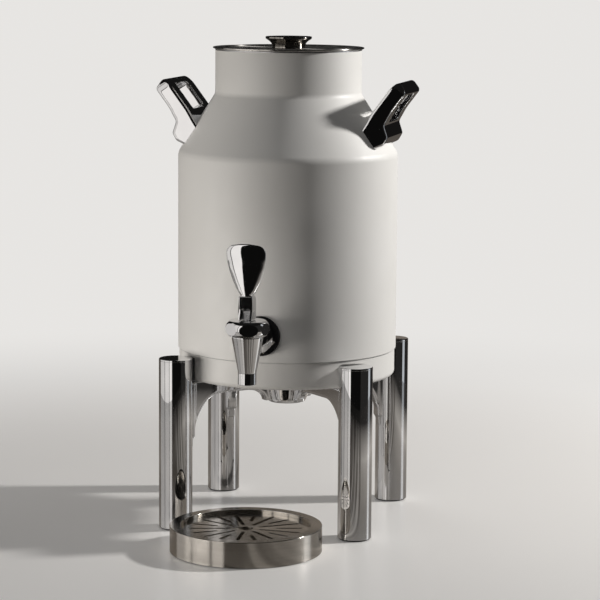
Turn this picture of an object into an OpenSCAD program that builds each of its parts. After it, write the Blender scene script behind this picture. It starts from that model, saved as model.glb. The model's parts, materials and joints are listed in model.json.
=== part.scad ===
// Milk-churn hot drink urn: an insulated vessel with a lift-off lid, a lever tap and two loop
// handles, standing on a four-post stand, with a loose drip tray under its spout.
// +Z is up, the tap points along -Y, and the origin is under the middle of the whole set.

/* [Vessel] */
// Outer radius of the shell
body_r = 113; // [108:1:120]
// Height of the straight body, from the underside to the shoulder's edge
body_h = 229.5; // [200:0.5:260]
// Height of the conical shoulder
shoulder_h = 60.5; // [50:0.5:70]
// Outer radius of the neck
neck_r = 75; // [70:1:84]
// Height of the neck, from the shoulder to the lid
neck_h = 45; // [36:1:60]
// Rounding of the edge between body and shoulder
shoulder_round = 14; // [6:1:20]
// Rounding between shoulder and neck
neck_round = 10; // [4:1:16]
// Wall of the outer shell
shell_wall = 1.2; // [1:0.1:1.6]
// Height of the base pan's visible band
band_h = 27.5; // [22:0.5:30]
// How far the band stands in from the shell
band_inset = 1.3; // [1:0.1:1.8]
// Rounding under the base pan
base_round = 5; // [3:0.5:7]
// Space between the shell and the tank
wall_gap = 13; // [12:0.5:15]
// Space between the neck's outside and the tank's neck
neck_gap = 8.5; // [7:0.5:10]
// Wall of the tank
tank_wall = 1; // [0.8:0.1:1.4]
// Height of the tank's floor over the underside of the vessel
tank_floor_h = 14; // [12:0.5:18]

/* [Lid] */
// How far the lid's rim stands out over the neck
lid_over = 2.4; // [1:0.1:4]
// Thickness of the lid's rim
lid_rim_t = 2.2; // [1.8:0.1:3]
// Thickness of the lid's edge, where its underside has sloped up
lid_edge_t = 1.2; // [0.9:0.1:1.6]
// Depth of the dish inside the lid's rim
lid_dish = 1.2; // [0.6:0.1:1.4]
// Width of the lid's flat rim
lid_rim_w = 9; // [6:0.5:12]
// Depth of the lid's plug in the neck
plug_depth = 18; // [14:0.5:24]
// Radius of the knob's top flange
knob_r = 23.7; // [20:0.1:27]
// Radius of the knob's waist
knob_waist_r = 17; // [13:0.1:18]
// Height of the knob
knob_h = 12; // [10:0.5:16]

/* [Handles] */
// Lean of a handle over the horizontal, in degrees
handle_lean = 57; // [52:0.5:64]
// Width of a handle round the shoulder
handle_w = 84; // [76:1:92]
// Height on the shoulder where a handle is centred, over the shoulder's edge
handle_rise = 21.5; // [18:0.5:26]
// Length of a handle along its lean
handle_len = 59; // [52:1:66]
// Thickness of a handle's bar
handle_t = 16.5; // [14:0.5:19]
// How far the foot stands out past the bar
foot_out = 11; // [8:0.5:13]
// Width of a handle's window
window_w = 43; // [36:1:48]
// Depth of the grip over the window
grip_d = 10; // [8:0.5:13]
// Edge rounding of the handles
handle_round = 4; // [2:0.5:5]

/* [Tap] */
// Height of the tap's inlet over the underside of the vessel
tap_h = 55; // [48:1:70]
// Distance from the shell to the spout's axis
spout_reach = 51; // [48:1:60]
// Radius of the shank that passes through both walls
shank_r = 8.8; // [8:0.1:9.6]
// Radius of the waterway
water_r = 5.5; // [4.5:0.1:6]
// Radius of the black gasket
gasket_r = 20; // [19:0.5:22]
// Thickness of the gasket at its middle
gasket_t = 2.6; // [2:0.1:4]
// Width across flats of the union nut in front of the shell
nut_af = 31; // [28:0.5:32]
// Width across flats of the lock nut in the tank
lock_af = 27; // [25:0.5:29]
// Radius of the spout's cone under the bonnet
cone_r = 15.7; // [15:0.1:17]
// Radius of the spout's tip
tip_r = 9.2; // [8.6:0.1:10.5]
// Length of the straight tip
tip_h = 12; // [8:0.5:16]
// Distance from the inlet's axis down to the end of the spout
spout_drop = 40; // [36:0.5:46]
// Radius of the outlet
outlet_r = 6.5; // [5.5:0.1:7]
// Radius of the bonnet at the middle of its convex band
bonnet_r = 21.7; // [21:0.1:23]
// Radius of the bonnet's two ends
bonnet_end_r = 17.6; // [17:0.1:18.5]
// Height of the bonnet
bonnet_h = 15.5; // [14:0.5:18]
// Distance of the bonnet's flats from its axis
bonnet_flat = 19.6; // [19.3:0.1:20.4]
// Rounding of the bonnet's rims
bonnet_round = 1; // [0.5:0.1:1.5]

/* [Lever] */
// Radius of the lever's pin
pin_r = 2; // [1.6:0.1:2.4]
// Height of the pin over the lever's flat foot
pin_over_foot = 7; // [6.5:0.1:8]
// Travel of the lever, in degrees
lever_travel = 27; // [20:1:30]
// Lift of the stem over the lever's whole travel
stem_lift = 3.5; // [2.5:0.1:4]
// Width of the lever's neck
lever_neck_w = 13.5; // [13:0.1:15]
// Depth of the lever's neck
lever_neck_d = 17; // [15:0.5:19]
// Width of the slot in the lever's neck
lever_slot_w = 10; // [9:0.1:10.4]
// Width of the paddle
paddle_w = 39.5; // [32:0.5:44]
// Height of the paddle's top over the pin
paddle_top = 68; // [60:0.5:74]

/* [Stand] */
// Height of the arms, where the vessel rests
arm_z = 150; // [140:1:170]
// How far the posts rise over the arms
post_rise = 25.5; // [20:0.5:27]
// Thickness of the guide pads at their middle, between base band and posts
pad_t = 2.8; // [2:0.1:8]
// Outer radius of a post
post_r = 17; // [15:0.5:18]
// Wall of a post
post_wall = 2; // [1.5:0.1:3]
// Thickness of an arm at its middle
arm_t = 14.5; // [12:0.5:18]
// Width of an arm
arm_w = 9; // [8:0.5:14]
// How far an arm's knee reaches down its post
knee_drop = 53; // [44:1:60]
// How far a knee reaches along its arm
knee_run = 33; // [26:1:38]
// Thickness of the saddle by which an arm meets its post
saddle_t = 3; // [2:0.5:5]
// Width of the saddle
saddle_w = 13; // [11:0.5:16]
// Radius of the hub at its top
hub_r = 28; // [26:0.5:32]
// Radius of the hub's underside
hub_end_r = 19; // [17:0.5:22]
// Height of the hub
hub_h = 27.5; // [24:0.5:32]
// Width of the guide pads beside the base
pad_w = 8; // [6:0.5:12]
// Height of the plastic feet under the posts
post_foot_h = 1.5; // [1:0.1:3]

/* [Drip tray] */
// Outer radius of the tray
tray_r = 75; // [70:1:80]
// Height of the tray
tray_h = 26; // [22:0.5:32]
// How far the tray's middle lies in front of the spout
tray_ahead = 3; // [0:0.5:8]
// Width of the tray's flat rim
tray_rim_w = 11; // [9:0.5:13]
// Wall of the tray
tray_wall = 1.5; // [1.2:0.1:2]
// Depth of the grille's top under the rim
grille_sink = 4; // [2:0.5:5]
// Thickness of the grille
grille_t = 2; // [1.5:0.1:3]
// Width of a slot
slot_w = 3.7; // [3:0.1:4.4]
// Number of slots, long and short together
slot_count = 18; // [14:2:20]
// Radius of the grille's centre hole
grille_hole_r = 7.2; // [5:0.1:8.5]
// Radius where the long slots start
slot_long_r = 15.5; // [14:0.5:18]
// Radius where the short slots start
slot_short_r = 31; // [28:0.5:38]
// Radius where all slots end
slot_end_r = 56; // [50:0.5:57]

/* [Fits] */
// Gap between a piece and the seat that it is laid or lowered into
seat_gap = 0.3; // [0.2:0.05:0.4]
// Radial gap of a running fit
run_gap = 0.05; // [0.03:0.01:0.08]
// Gap between fixed pieces
fixed_gap = 0.1; // [0.05:0.01:0.2]
// Gap between the base band and the guide pads
pad_gap = 0.4; // [0.3:0.1:0.8]
// Gap under a piece that rests on another
rest_gap = 0.05; // [0:0.01:0.1]

/* [Hidden] */
$fn = 96;
FINE = 180;

// Levels of the vessel
base_z = arm_z + rest_gap;
seam_h = 0.6;
seam_in = 0.6;
seam_z = base_z + band_h;
shoulder_z = base_z + body_h;
neck_z = shoulder_z + shoulder_h;
flange_t = 1;
rim_z = neck_z + neck_h;
shell_top_z = rim_z - flange_t;
shoulder_angle = atan((body_r - neck_r) / shoulder_h);
band_r = body_r - band_inset;
collar_r = body_r - shell_wall - seat_gap;
collar_h = 9;
pan_wall = 1.2;
foot_ring_w = 11;
ring_round = 2;
base_lift = 4;
tank_floor_z = base_z + tank_floor_h;
tank_r = body_r - wall_gap;
tank_neck_r = neck_r - neck_gap;
tank_drop = 4;
tank_shoulder_z = shoulder_z - tank_drop;
tank_neck_z = tank_shoulder_z + (tank_r - tank_neck_r) / tan(shoulder_angle);
mouth_r = tank_neck_r - tank_wall;
tank_round = 12;
tank_foot_round = 20;

// Levels of the lid
lid_r = neck_r + lid_over;
lid_top_z = rim_z + lid_rim_t;
dish_z = lid_top_z - lid_dish;
dish_r = lid_r - lid_rim_w;
plug_r = mouth_r - 3.5;
lid_wall = 1;
plug_z = rim_z - plug_depth;
seal_h = 6;
seal_z = plug_z + 5;
bead_h = 1;
knob_z = dish_z;
knob_screw_r = 2.5;
knob_screw_deep = 8;
screw_head_h = 3;

// Handles
handle_x = body_r - handle_rise * tan(shoulder_angle);
handle_z = shoulder_z + handle_rise;
bar_back = -handle_t + 1.5;
window_low = 17;
window_high = handle_len - grip_d;
handle_screw_r = 3;
handle_screw_y = 13;
handle_screw_bite = 8;
handle_head_r = 5;
handle_head_h = 5;
// How far the shell's curve falls away under the outer edge of a screw's head
handle_sag = pow(handle_screw_y + handle_head_r, 2) * cos(shoulder_angle) / (2 * handle_x);

// Levels of the tap
tap_z = base_z + tap_h;
spout_u = body_r + spout_reach;
tip_z = tap_z - spout_drop;
cone_z = tip_z + tip_h;
cone_top_z = tap_z + 8;
bonnet_z = cone_top_z;
bonnet_top_z = bonnet_z + bonnet_h;
barrel_r = 10.5;
chamber_r = 11;
seat_z = tap_z - 10;
skirt_h = 6;
skirt_wall = 2;
skirt_r = chamber_r - run_gap;
union_u = body_r + gasket_t;
union_t = 10;
nut_turn = 14;
nut_chamfer = 1.6;
shank_in = 12;
barrel_u = union_u + union_t + 2 * fixed_gap;
lock_t = 5.5;
lock_washer_t = 2;
lock_washer_r = 15;
// The tank's wall is curved, so the flat side of its washer stands off by the curve's depth
lock_u = tank_r - tank_wall - lock_washer_t - pow(lock_washer_r, 2) / (2 * (tank_r - tank_wall));
spacer_wall = 3;
bonnet_turn = 42;

// Stem, spring and lever
stem_r = 4;
pin_z = bonnet_top_z + seat_gap + pin_over_foot;
head_w = lever_slot_w - 2 * seat_gap;
head_r = 4.5;
cup_r = 8.6;
cup_h = 8;
cup_floor = 2;
cup_wall = 1;
cup_z = seat_z + seat_gap;
spring_low_z = cup_z + cup_h;
spring_high_z = bonnet_z + 9;
spring_wire_r = 0.6;
spring_r = 6.4;
spring_turns = 5;
cam_rate = stem_lift / lever_travel;
cam_reach = cam_rate * 180 / PI;
slot_over_pin = 5.2;
neck_over_pin = 17;
slot_round = 2.4;

// Stand
pad_in_r = band_r + pad_gap;
post_circle_r = pad_in_r + pad_t + fixed_gap + post_r;
post_h = arm_z + post_rise;
post_cap_t = 2;
cap_round = 0.8;
plug_len = 10;
plug_wall = 3;
post_foot_in = 1.5;
post_in_r = post_circle_r - post_r;
saddle_round = 2;
saddle_drop = 1;
saddle_end_z = arm_z - arm_t - 0.8 * knee_drop;
hub_top_z = arm_z - 3;
hub_end_z = hub_top_z - hub_h;
knee_end_r = post_in_r - 1;
knee_in_r = knee_end_r - knee_run;
hub_knee_run = 22;
hub_knee_drop = 13;
hub_knee_r = hub_r + hub_knee_run;
pocket_r = 14;
pocket_h = 18;
hub_cap_t = 2;
hub_rim_h = 4;
frame_pin_r = 3;
frame_pin_down = 9;
frame_pin_pitch = 10;
frame_pin_z = [arm_z - frame_pin_down, arm_z - frame_pin_down - frame_pin_pitch];
frame_pin_len = 14;
pad_h = post_rise - 1;

// Tray and grille
tray_y = spout_u + tray_ahead;
tray_foot_h = 1.7;
tray_foot_r = 7;
tray_foot_circle = 50;
skirt_clear = 0.5;
well_r = tray_r - tray_rim_w;
ledge_w = 4.5;
grille_top_z = tray_h - grille_sink;
ledge_z = grille_top_z - grille_t;
grille_r = well_r - seat_gap;
grille_turn = 15;

// The whole set is shifted so that the origin lies under the middle of its box
back_reach = max(body_r, post_circle_r * sin(45) + post_r);
axis_y = (tray_y + tray_r - back_reach) / 2;

POSTS = [["front_right", -45], ["back_right", 45], ["back_left", 135], ["front_left", -135]];

// ---- helpers ----

function unit(v) = v / norm(v);

// Arc of radius r that rounds the corner b between a and c
function corner(a, b, c, r, steps) =
    let (u = unit(a - b), v = unit(c - b), half = acos(u * v) / 2,
         m = b + unit(u + v) * r / sin(half),
         p = b + u * r / tan(half) - m, q = b + v * r / tan(half) - m,
         a0 = atan2(p[1], p[0]), turn = atan2(q[1], q[0]) - a0,
         sweep = turn > 180 ? turn - 360 : turn < -180 ? turn + 360 : turn)
    [for (i = [0 : steps]) m + r * [cos(a0 + sweep * i / steps), sin(a0 + sweep * i / steps)]];

// Outline from points [x, y, radius], with each corner rounded by its own radius
function outline(pts, steps = 6) =
    let (n = len(pts), xy = [for (p = pts) [p[0], p[1]]])
    [for (i = [0 : n - 1]) each pts[i][2] > 0
        ? corner(xy[(i + n - 1) % n], xy[i], xy[(i + 1) % n], pts[i][2], steps) : [xy[i]]];

function rounded_box(x0, x1, y0, y1, r) = outline([[x0, y0, r], [x1, y0, r], [x1, y1, r], [x0, y1, r]]);

module revolve(pts) rotate_extrude($fn = FINE) polygon(outline(pts));

// A cylinder along -Y that starts u0 from the vessel's axis, at height z
module radial(r, u0, u1, z, sides = 96)
    translate([0, -u0, z]) rotate([90, 0, 0]) cylinder(r = r, h = u1 - u0, $fn = sides);

module tube(r_out, r_in, h) difference() {
    cylinder(r = r_out, h = h);
    translate([0, 0, -1]) cylinder(r = r_in, h = h + 2);
}

module hexagon(af, h) cylinder(r = af / sqrt(3), h = h, $fn = 6);

module at_spout() translate([0, -spout_u, 0]) children();

module at_post(i) rotate([0, 0, POSTS[i][1]]) translate([post_circle_r, 0, 0]) children();

// Closed skin over a stack of rings with equal numbers of points
module skin(rings) {
    n = len(rings[0]);
    last = (len(rings) - 1) * n;
    polyhedron(points = [for (ring = rings) each ring], faces = concat(
        [[for (i = [n - 1 : -1 : 0]) i]], [[for (i = [0 : n - 1]) last + i]],
        [for (k = [0 : len(rings) - 2], i = [0 : n - 1])
            [k * n + i, k * n + (i + 1) % n, (k + 1) * n + (i + 1) % n, (k + 1) * n + i]]));
}

// ---- vessel ----

// Outer line of the vessel's wall, d inside the shell, from height z0 up to z1
function wall_line(d, z0, z1) =
    let (drop = d * tan(shoulder_angle / 2))
    [[body_r - d, z0, 0], [body_r - d, shoulder_z - drop, shoulder_round - d],
     [neck_r - d, neck_z - drop, neck_round + d], [neck_r - d, z1, 0]];

function tank_line(d, z0, z1) =
    let (drop = d * tan(shoulder_angle / 2))
    [[tank_r - d, z0, 0], [tank_r - d, tank_shoulder_z - drop, tank_round - d],
     [tank_neck_r - d, tank_neck_z - drop, neck_round + d], [tank_neck_r - d, z1, 0]];

function reversed(list) = [for (i = [len(list) - 1 : -1 : 0]) list[i]];

// Bolts of one handle, as cylinders of radius r square to the shoulder, from depth a to b
module handle_bolts(side, r, a, b, sides = 48)
    for (y = [-handle_screw_y, handle_screw_y])
        mirror([side < 0 ? 1 : 0, 0, 0]) translate([handle_x, y, handle_z])
            rotate([0, 90 - shoulder_angle, 0]) translate([0, 0, a]) cylinder(r = r, h = b - a, $fn = sides);

module outer_shell() color("#e9e6df") difference() {
    revolve(concat(wall_line(0, seam_z + seam_h, shell_top_z),
                   reversed(wall_line(shell_wall, seam_z + seam_h, shell_top_z))));
    radial(shank_r + fixed_gap, tank_r, body_r + 5, tap_z);
    for (side = [-1, 1]) handle_bolts(side, handle_screw_r + fixed_gap, -6, 6);
}

module base_pan() color("#e9e6df") {
    w = pan_wall;
    floor_z = base_z + base_lift;
    ring_r = band_r - base_round - foot_ring_w;
    floor_r = ring_r - base_lift;
    revolve([[0, floor_z, 0], [floor_r, floor_z, ring_round], [ring_r, base_z, ring_round],
             [band_r, base_z, base_round], [band_r, seam_z, 0], [collar_r, seam_z, 0],
             [collar_r, seam_z + collar_h, 0], [collar_r - w, seam_z + collar_h, 0],
             [collar_r - w, seam_z - w, 0], [band_r - w, seam_z - 3 * w, 0],
             [band_r - w, base_z + w, base_round - w], [ring_r + w / 2, base_z + w, ring_round / 2],
             [floor_r + w / 2, floor_z + w, ring_round / 2], [0, floor_z + w, 0]]);
}

module seam_gasket() color("#2c2c2c") translate([0, 0, seam_z])
    tube(body_r - seam_in, collar_r + fixed_gap / 2, seam_h);

module inner_tank() color("#c9c9c8") difference() {
    outer = tank_line(0, tank_floor_z, shell_top_z);
    inner = tank_line(tank_wall, tank_floor_z + tank_wall, rim_z);
    revolve([[0, tank_floor_z, 0], [tank_r, tank_floor_z, tank_foot_round], outer[1], outer[2], outer[3],
             [neck_r, shell_top_z, 0], [neck_r, rim_z, 0.4], [mouth_r, rim_z, 0.8], inner[2], inner[1],
             [tank_r - tank_wall, tank_floor_z + tank_wall, tank_foot_round - tank_wall],
             [0, tank_floor_z + tank_wall, 0]]);
    radial(shank_r + fixed_gap, tank_r - 8, tank_r + 8, tap_z);
}

module insulation() color("#d9c27a") difference() {
    low_z = seam_z + collar_h + seat_gap;
    high_z = neck_z + 0.5 * neck_h;
    revolve(concat(wall_line(shell_wall + seat_gap, low_z, high_z),
                   reversed(tank_line(-seat_gap, low_z, high_z))));
    radial(shank_r + spacer_wall + seat_gap, tank_r - 8, body_r + 8, tap_z);
    for (side = [-1, 1]) handle_bolts(side, handle_head_r + 1, -2 * wall_gap, 8);
}

// ---- handles ----

// Side outline of a handle: x across the lean, y along it; the lowest points lie inside the shoulder
function handle_side() =
    let (top = handle_len, bar = bar_back)
    [[bar - 1, -24, 0], [-1, -24, 0], [1.2 + foot_out, -3.4, 5], [0.8 + foot_out, 5.5, 4],
     [1.8, 13.5, 4], [0.6, 0.5 * top, 40], [2.2, top - 6, 4.5], [bar + 4.4, top, 4.5],
     [bar + 0.8, top - 12, 20], [bar - 1.2, 18, 20], [bar - 0.5, 4, 6]];

module handle_form() intersection() {
    rotate([90, 0, 0]) linear_extrude(handle_w, center = true) polygon(outline(handle_side()));
    rotate([90, 0, 90]) linear_extrude(handle_w, center = true)
        polygon(rounded_box(-handle_w / 2, handle_w / 2, -40, handle_len, handle_round));
    union() {
        translate([0, 0, -40]) linear_extrude(52)
            polygon(rounded_box(bar_back - 1.4, foot_out + 1.2, -handle_w / 2, handle_w / 2, handle_round));
        translate([0, 0, 11]) linear_extrude(handle_len)
            polygon(rounded_box(bar_back - 1.4, 2.4, -handle_w / 2, handle_w / 2, handle_round));
    }
}

module handle(side) color("#c4c7ca") difference() {
    mirror([side < 0 ? 1 : 0, 0, 0]) translate([handle_x, 0, handle_z]) rotate([0, 90 - handle_lean, 0])
        difference() {
        handle_form();
        rotate([90, 0, 90]) linear_extrude(handle_w, center = true)
            polygon(rounded_box(-window_w / 2, window_w / 2, window_low, window_high, handle_round));
    }
    revolve(concat([[0, base_z, 0]], wall_line(-fixed_gap, base_z, rim_z), [[0, rim_z, 0]]));
    handle_bolts(side, handle_screw_r + run_gap, -20, handle_screw_bite + 2);
}

module handle_screws(side) color("#9aa0a5") {
    under = -shell_wall - handle_sag - fixed_gap;
    handle_bolts(side, handle_screw_r, under, handle_screw_bite);
    handle_bolts(side, handle_head_r, under - handle_head_h, under);
}

// ---- tap ----

// A drum about the vessel's axis, round the height of the tap's inlet
module drum(r) translate([0, 0, tap_z - 1.5 * gasket_r]) cylinder(r = r, h = 3 * gasket_r, $fn = FINE);

module tap_gasket() color("#17181a") difference() {
    radial(gasket_r, body_r - 4, union_u, tap_z);
    drum(body_r + fixed_gap);
    radial(shank_r + fixed_gap, body_r - 5, union_u + 1, tap_z);
}

// Hexagon nut on the shank, chamfered on both faces
module nut_at(u, t, af) difference() {
    translate([0, -u, tap_z]) rotate([90, 0, 0]) intersection() {
        rotate([0, 0, nut_turn]) hexagon(af, t);
        revolve([[0, 0, 0], [af / 2, 0, 0], [af / 2 + 2 * nut_chamfer, nut_chamfer, 0],
                 [af / 2 + 2 * nut_chamfer, t - nut_chamfer, 0], [af / 2, t, 0], [0, t, 0]]);
    }
    radial(shank_r + run_gap, u - 1, u + t + 1, tap_z);
}

module tap_nut() color("#c4c7ca") nut_at(union_u + fixed_gap, union_t, nut_af);

module tap_shank() color("#b9bcbf") difference() {
    radial(shank_r, tank_r - shank_in, barrel_u, tap_z);
    radial(water_r, tank_r - shank_in - 1, barrel_u + 1, tap_z);
}

module wall_spacer() color("#b9bcbf") difference() {
    intersection() {
        radial(shank_r + spacer_wall, tank_r - 4, body_r, tap_z);
        drum(body_r - shell_wall - fixed_gap);
    }
    drum(tank_r + fixed_gap);
    radial(shank_r + fixed_gap, tank_r - 5, body_r + 1, tap_z);
}

module tank_washer() color("#17181a") difference() {
    intersection() {
        radial(lock_washer_r, lock_u, tank_r, tap_z);
        drum(tank_r - tank_wall - fixed_gap);
    }
    radial(shank_r + fixed_gap, lock_u - 1, tank_r + 1, tap_z);
}

module lock_nut() color("#b9bcbf") nut_at(lock_u - fixed_gap - lock_t, lock_t, lock_af);

module tap_body() color("#c4c7ca") difference() {
    union() {
        at_spout() revolve([[0, tip_z, 0], [tip_r, tip_z, 0.6], [tip_r, cone_z, 8],
                            [cone_r, cone_top_z - 1, 0.8], [cone_r, cone_top_z, 0], [0, cone_top_z, 0]]);
        difference() {
            radial(barrel_r, barrel_u, spout_u, tap_z);
            at_spout() translate([0, 0, cone_top_z]) cylinder(r = bonnet_r + seat_gap, h = barrel_r);
        }
    }
    at_spout() translate([0, 0, seat_z]) cylinder(r = chamber_r, h = cone_top_z - seat_z + 1);
    at_spout() translate([0, 0, tip_z - 1]) cylinder(r = outlet_r, h = seat_z - tip_z + 2);
    radial(water_r, barrel_u - 1, spout_u, tap_z);
}

// Convex band of the bonnet, an arc through both rims and the widest radius
function bonnet_band(steps = 12) =
    let (bulge = bonnet_r - bonnet_end_r, half = bonnet_h / 2,
         r = (half * half + bulge * bulge) / (2 * bulge), end = asin(half / r))
    [for (i = [0 : steps]) let (a = end * (2 * i / steps - 1))
        [bonnet_r - r + r * cos(a), bonnet_z + half + r * sin(a),
         i == 0 || i == steps ? bonnet_round : 0]];

module tap_bonnet() color("#c4c7ca") at_spout() difference() {
    union() {
        intersection() {
            revolve(concat([[0, bonnet_z, 0]], bonnet_band(), [[0, bonnet_top_z, 0]]));
            translate([0, 0, bonnet_z - 1]) rotate([0, 0, bonnet_turn])
                hexagon(2 * bonnet_flat, bonnet_h + 2);
        }
        translate([0, 0, bonnet_z - skirt_h]) cylinder(r = skirt_r, h = skirt_h + 1);
    }
    translate([0, 0, bonnet_z - skirt_h - 1])
        cylinder(r = skirt_r - skirt_wall, h = spring_high_z - bonnet_z + skirt_h + 1);
    translate([0, 0, bonnet_z]) cylinder(r = stem_r + run_gap, h = bonnet_h + 1);
}

// Compression spring between the seat cup and the bonnet
module valve_spring() color("#9aa0a5") at_spout() {
    steps = 14 * spring_turns;
    low = spring_low_z + spring_wire_r + fixed_gap;
    rise = spring_high_z - spring_wire_r - fixed_gap - low;
    skin([for (k = [0 : steps]) let (a = 360 * spring_turns * k / steps)
        [for (j = [0 : 5]) let (w = spring_wire_r * cos(60 * j), r = spring_r + w)
            [r * cos(a), r * sin(a), low + rise * k / steps - spring_wire_r * sin(60 * j)]]]);
}

module valve_stem() color("#b9bcbf") at_spout() difference() {
    union() {
        translate([0, 0, cup_z + cup_floor]) cylinder(r = stem_r, h = pin_z - cup_z - cup_floor - head_r);
        translate([0, 0, pin_z]) rotate([0, 90, 0])
            revolve([[0, -head_w / 2, 0], [head_r, -head_w / 2, slot_round],
                     [head_r, head_w / 2, slot_round], [0, head_w / 2, 0]]);
        translate([-head_w / 2, -head_r, bonnet_top_z + 1])
            cube([head_w, 2 * head_r, pin_z - bonnet_top_z - 1]);
    }
    translate([-head_w, 0, pin_z]) rotate([0, 90, 0]) cylinder(r = pin_r + run_gap / 2, h = 2 * head_w);
}

module valve_cup() color("#d8d5cc") at_spout() difference() {
    revolve([[0, cup_z, 0], [cup_r, cup_z, 1], [cup_r + 0.6, cup_z + cup_h, 0.5], [0, cup_z + cup_h, 0]]);
    translate([0, 0, cup_z + cup_floor - run_gap]) cylinder(r = stem_r + run_gap, h = cup_h);
    translate([0, 0, cup_z + 2 * cup_floor]) tube(cup_r - cup_wall, stem_r + 1.5 * cup_wall, cup_h);
}

module lever_pin() color("#9aa0a5") at_spout()
    translate([-lever_neck_w / 2, 0, pin_z]) rotate([0, 90, 0]) cylinder(r = pin_r, h = lever_neck_w);

// Foot of the lever, seen from the side, about the pin: its flat rests on the bonnet, and its toe is the
// involute that lifts the stem evenly as the lever comes forward. x is forward.
function toe(a) = let (h = pin_over_foot + cam_rate * a)
    [h * sin(a) + cam_reach * cos(a), -h * cos(a) + cam_reach * sin(a)];

function lever_side() = let (d = lever_neck_d / 2, tip = toe(lever_travel))
    outline(concat([for (i = [0 : 8]) let (p = toe(lever_travel * i / 8)) [p[0], p[1], 0]],
                   [[tip[0] + 0.2, tip[1] + 2.5, 1.5], [d, 4, 6], [d, neck_over_pin, 0],
                    [-d, neck_over_pin, 7], [-d, -pin_over_foot, 3]]));

// Paddle sections: height over the pin as a share of paddle_top, half width as a share of paddle_w,
// front and back faces
PADDLE = [[0.12, 0.155, 7.8, -6], [0.25, 0.16, 7.8, -5], [0.285, 0.2, 7.7, -4.3],
          [0.32, 0.236, 7.6, -3.7], [0.38, 0.284, 7.4, -2.4], [0.47, 0.352, 7.4, -1.1],
          [0.6, 0.425, 7.9, 0.1], [0.7, 0.465, 8.4, 0.9], [0.79, 0.491, 9, 1.7], [0.85, 0.5, 9.2, 2.3],
          [0.9, 0.487, 9.2, 2.8], [0.95, 0.43, 9.1, 3.5], [0.982, 0.33, 8.6, 4.4], [1, 0.12, 7.8, 5.6]];

function squircle(t, n) = sign(t) * pow(abs(t), 2 / n);

module paddle() skin([for (s = PADDLE)
    [for (i = [0 : 27]) let (a = -360 * i / 28, hy = (s[2] - s[3]) / 2)
        [paddle_w * s[1] * squircle(cos(a), 2.5), -(s[2] + s[3]) / 2 + hy * squircle(sin(a), 2.3),
         paddle_top * s[0]]]]);

module tap_lever() color("#c4c7ca") at_spout() translate([0, 0, pin_z]) difference() {
    union() {
        intersection() {
            rotate([90, 0, -90]) linear_extrude(lever_neck_w, center = true) polygon(lever_side());
            translate([0, 0, -20]) linear_extrude(20 + neck_over_pin)
                polygon(rounded_box(-lever_neck_w / 2, lever_neck_w / 2, -16, lever_neck_d / 2, 1.5));
        }
        paddle();
    }
    rotate([90, 0, 0]) linear_extrude(40, center = true)
        polygon(outline([[-lever_slot_w / 2, -20, 0], [lever_slot_w / 2, -20, 0],
                         [lever_slot_w / 2, slot_over_pin, slot_round],
                         [-lever_slot_w / 2, slot_over_pin, slot_round]]));
    translate([-lever_neck_w, 0, 0]) rotate([0, 90, 0]) cylinder(r = pin_r + run_gap, h = 2 * lever_neck_w);
}

// ---- lid ----

module lid_top() color("#b4b1aa") difference() {
    revolve([[0, rim_z, 0], [neck_r, rim_z, 0.6], [lid_r, lid_top_z - lid_edge_t, 0.3],
             [lid_r, lid_top_z, 0.5], [dish_r, lid_top_z, 0.4],
             [dish_r - 1.2, dish_z, 0.4], [0, dish_z, 0]]);
    translate([0, 0, rim_z - 1]) cylinder(r = knob_screw_r + fixed_gap, h = 5);
}

// The lid's plug, a pan with a small bead that carries the seal
module lid_liner() color("#b4b1aa") {
    bead_z = seal_z - fixed_gap;
    revolve([[0, plug_z, 0], [plug_r, plug_z, 3], [plug_r, bead_z - bead_h, 0],
             [plug_r + bead_h, bead_z - bead_h, 0.3], [plug_r + bead_h, bead_z, 0.3], [plug_r, bead_z, 0],
             [plug_r, rim_z - fixed_gap, 0], [plug_r - lid_wall, rim_z - fixed_gap, 0],
             [plug_r - lid_wall, plug_z + lid_wall, 3 - lid_wall], [0, plug_z + lid_wall, 0]]);
}

// A seal with two lips that reach out to the tank's neck
module lid_seal() color("#8a8d90") {
    inner = plug_r + fixed_gap;
    lip = mouth_r - seat_gap;
    revolve([[inner, seal_z, 0], [lip - 1, seal_z, 0.3], [lip, seal_z + 0.2 * seal_h, 0.4],
             [lip - 1, seal_z + 0.5 * seal_h, 0.3], [lip, seal_z + 0.7 * seal_h, 0.4],
             [lip - 1, seal_z + seal_h, 0.3], [inner, seal_z + seal_h, 0]]);
}

module lid_knob() color("#8f8a82") difference() {
    revolve([[0, knob_z, 0], [knob_waist_r + 1, knob_z, 0.5], [knob_waist_r, knob_z + 2, 1.5],
             [knob_waist_r + 1, knob_z + 0.5 * knob_h, 5], [knob_r, knob_z + knob_h - 2.6, 1.5],
             [knob_r, knob_z + knob_h, 0.7], [knob_r - 5, knob_z + knob_h - 0.1, 2],
             [0, knob_z + knob_h - 1, 0]]);
    translate([0, 0, knob_z - 1]) cylinder(r = knob_screw_r + run_gap, h = knob_screw_deep + 1);
}

module knob_screw() color("#9aa0a5") {
    translate([0, 0, rim_z]) cylinder(r = knob_screw_r, h = dish_z - rim_z + knob_screw_deep - 0.5);
    translate([0, 0, rim_z - screw_head_h]) cylinder(r = 2 * knob_screw_r, h = screw_head_h);
}

// ---- stand ----

module post(i) color("#c4c7ca") at_post(i) difference() {
    translate([0, 0, post_foot_h])
        cylinder(r = post_r, h = post_h - post_cap_t - post_foot_h, $fn = FINE);
    cylinder(r = post_r - post_wall, h = post_h);
    for (z = frame_pin_z) translate([-post_r - 1, 0, z]) rotate([0, 90, 0])
        cylinder(r = frame_pin_r + fixed_gap, h = 2 * post_wall + 1, $fn = 48);
}

// Ring that plugs the end of a post's tube
module end_plug(z) translate([0, 0, z])
    tube(post_r - post_wall - fixed_gap, post_r - post_wall - plug_wall, plug_len);

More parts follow.
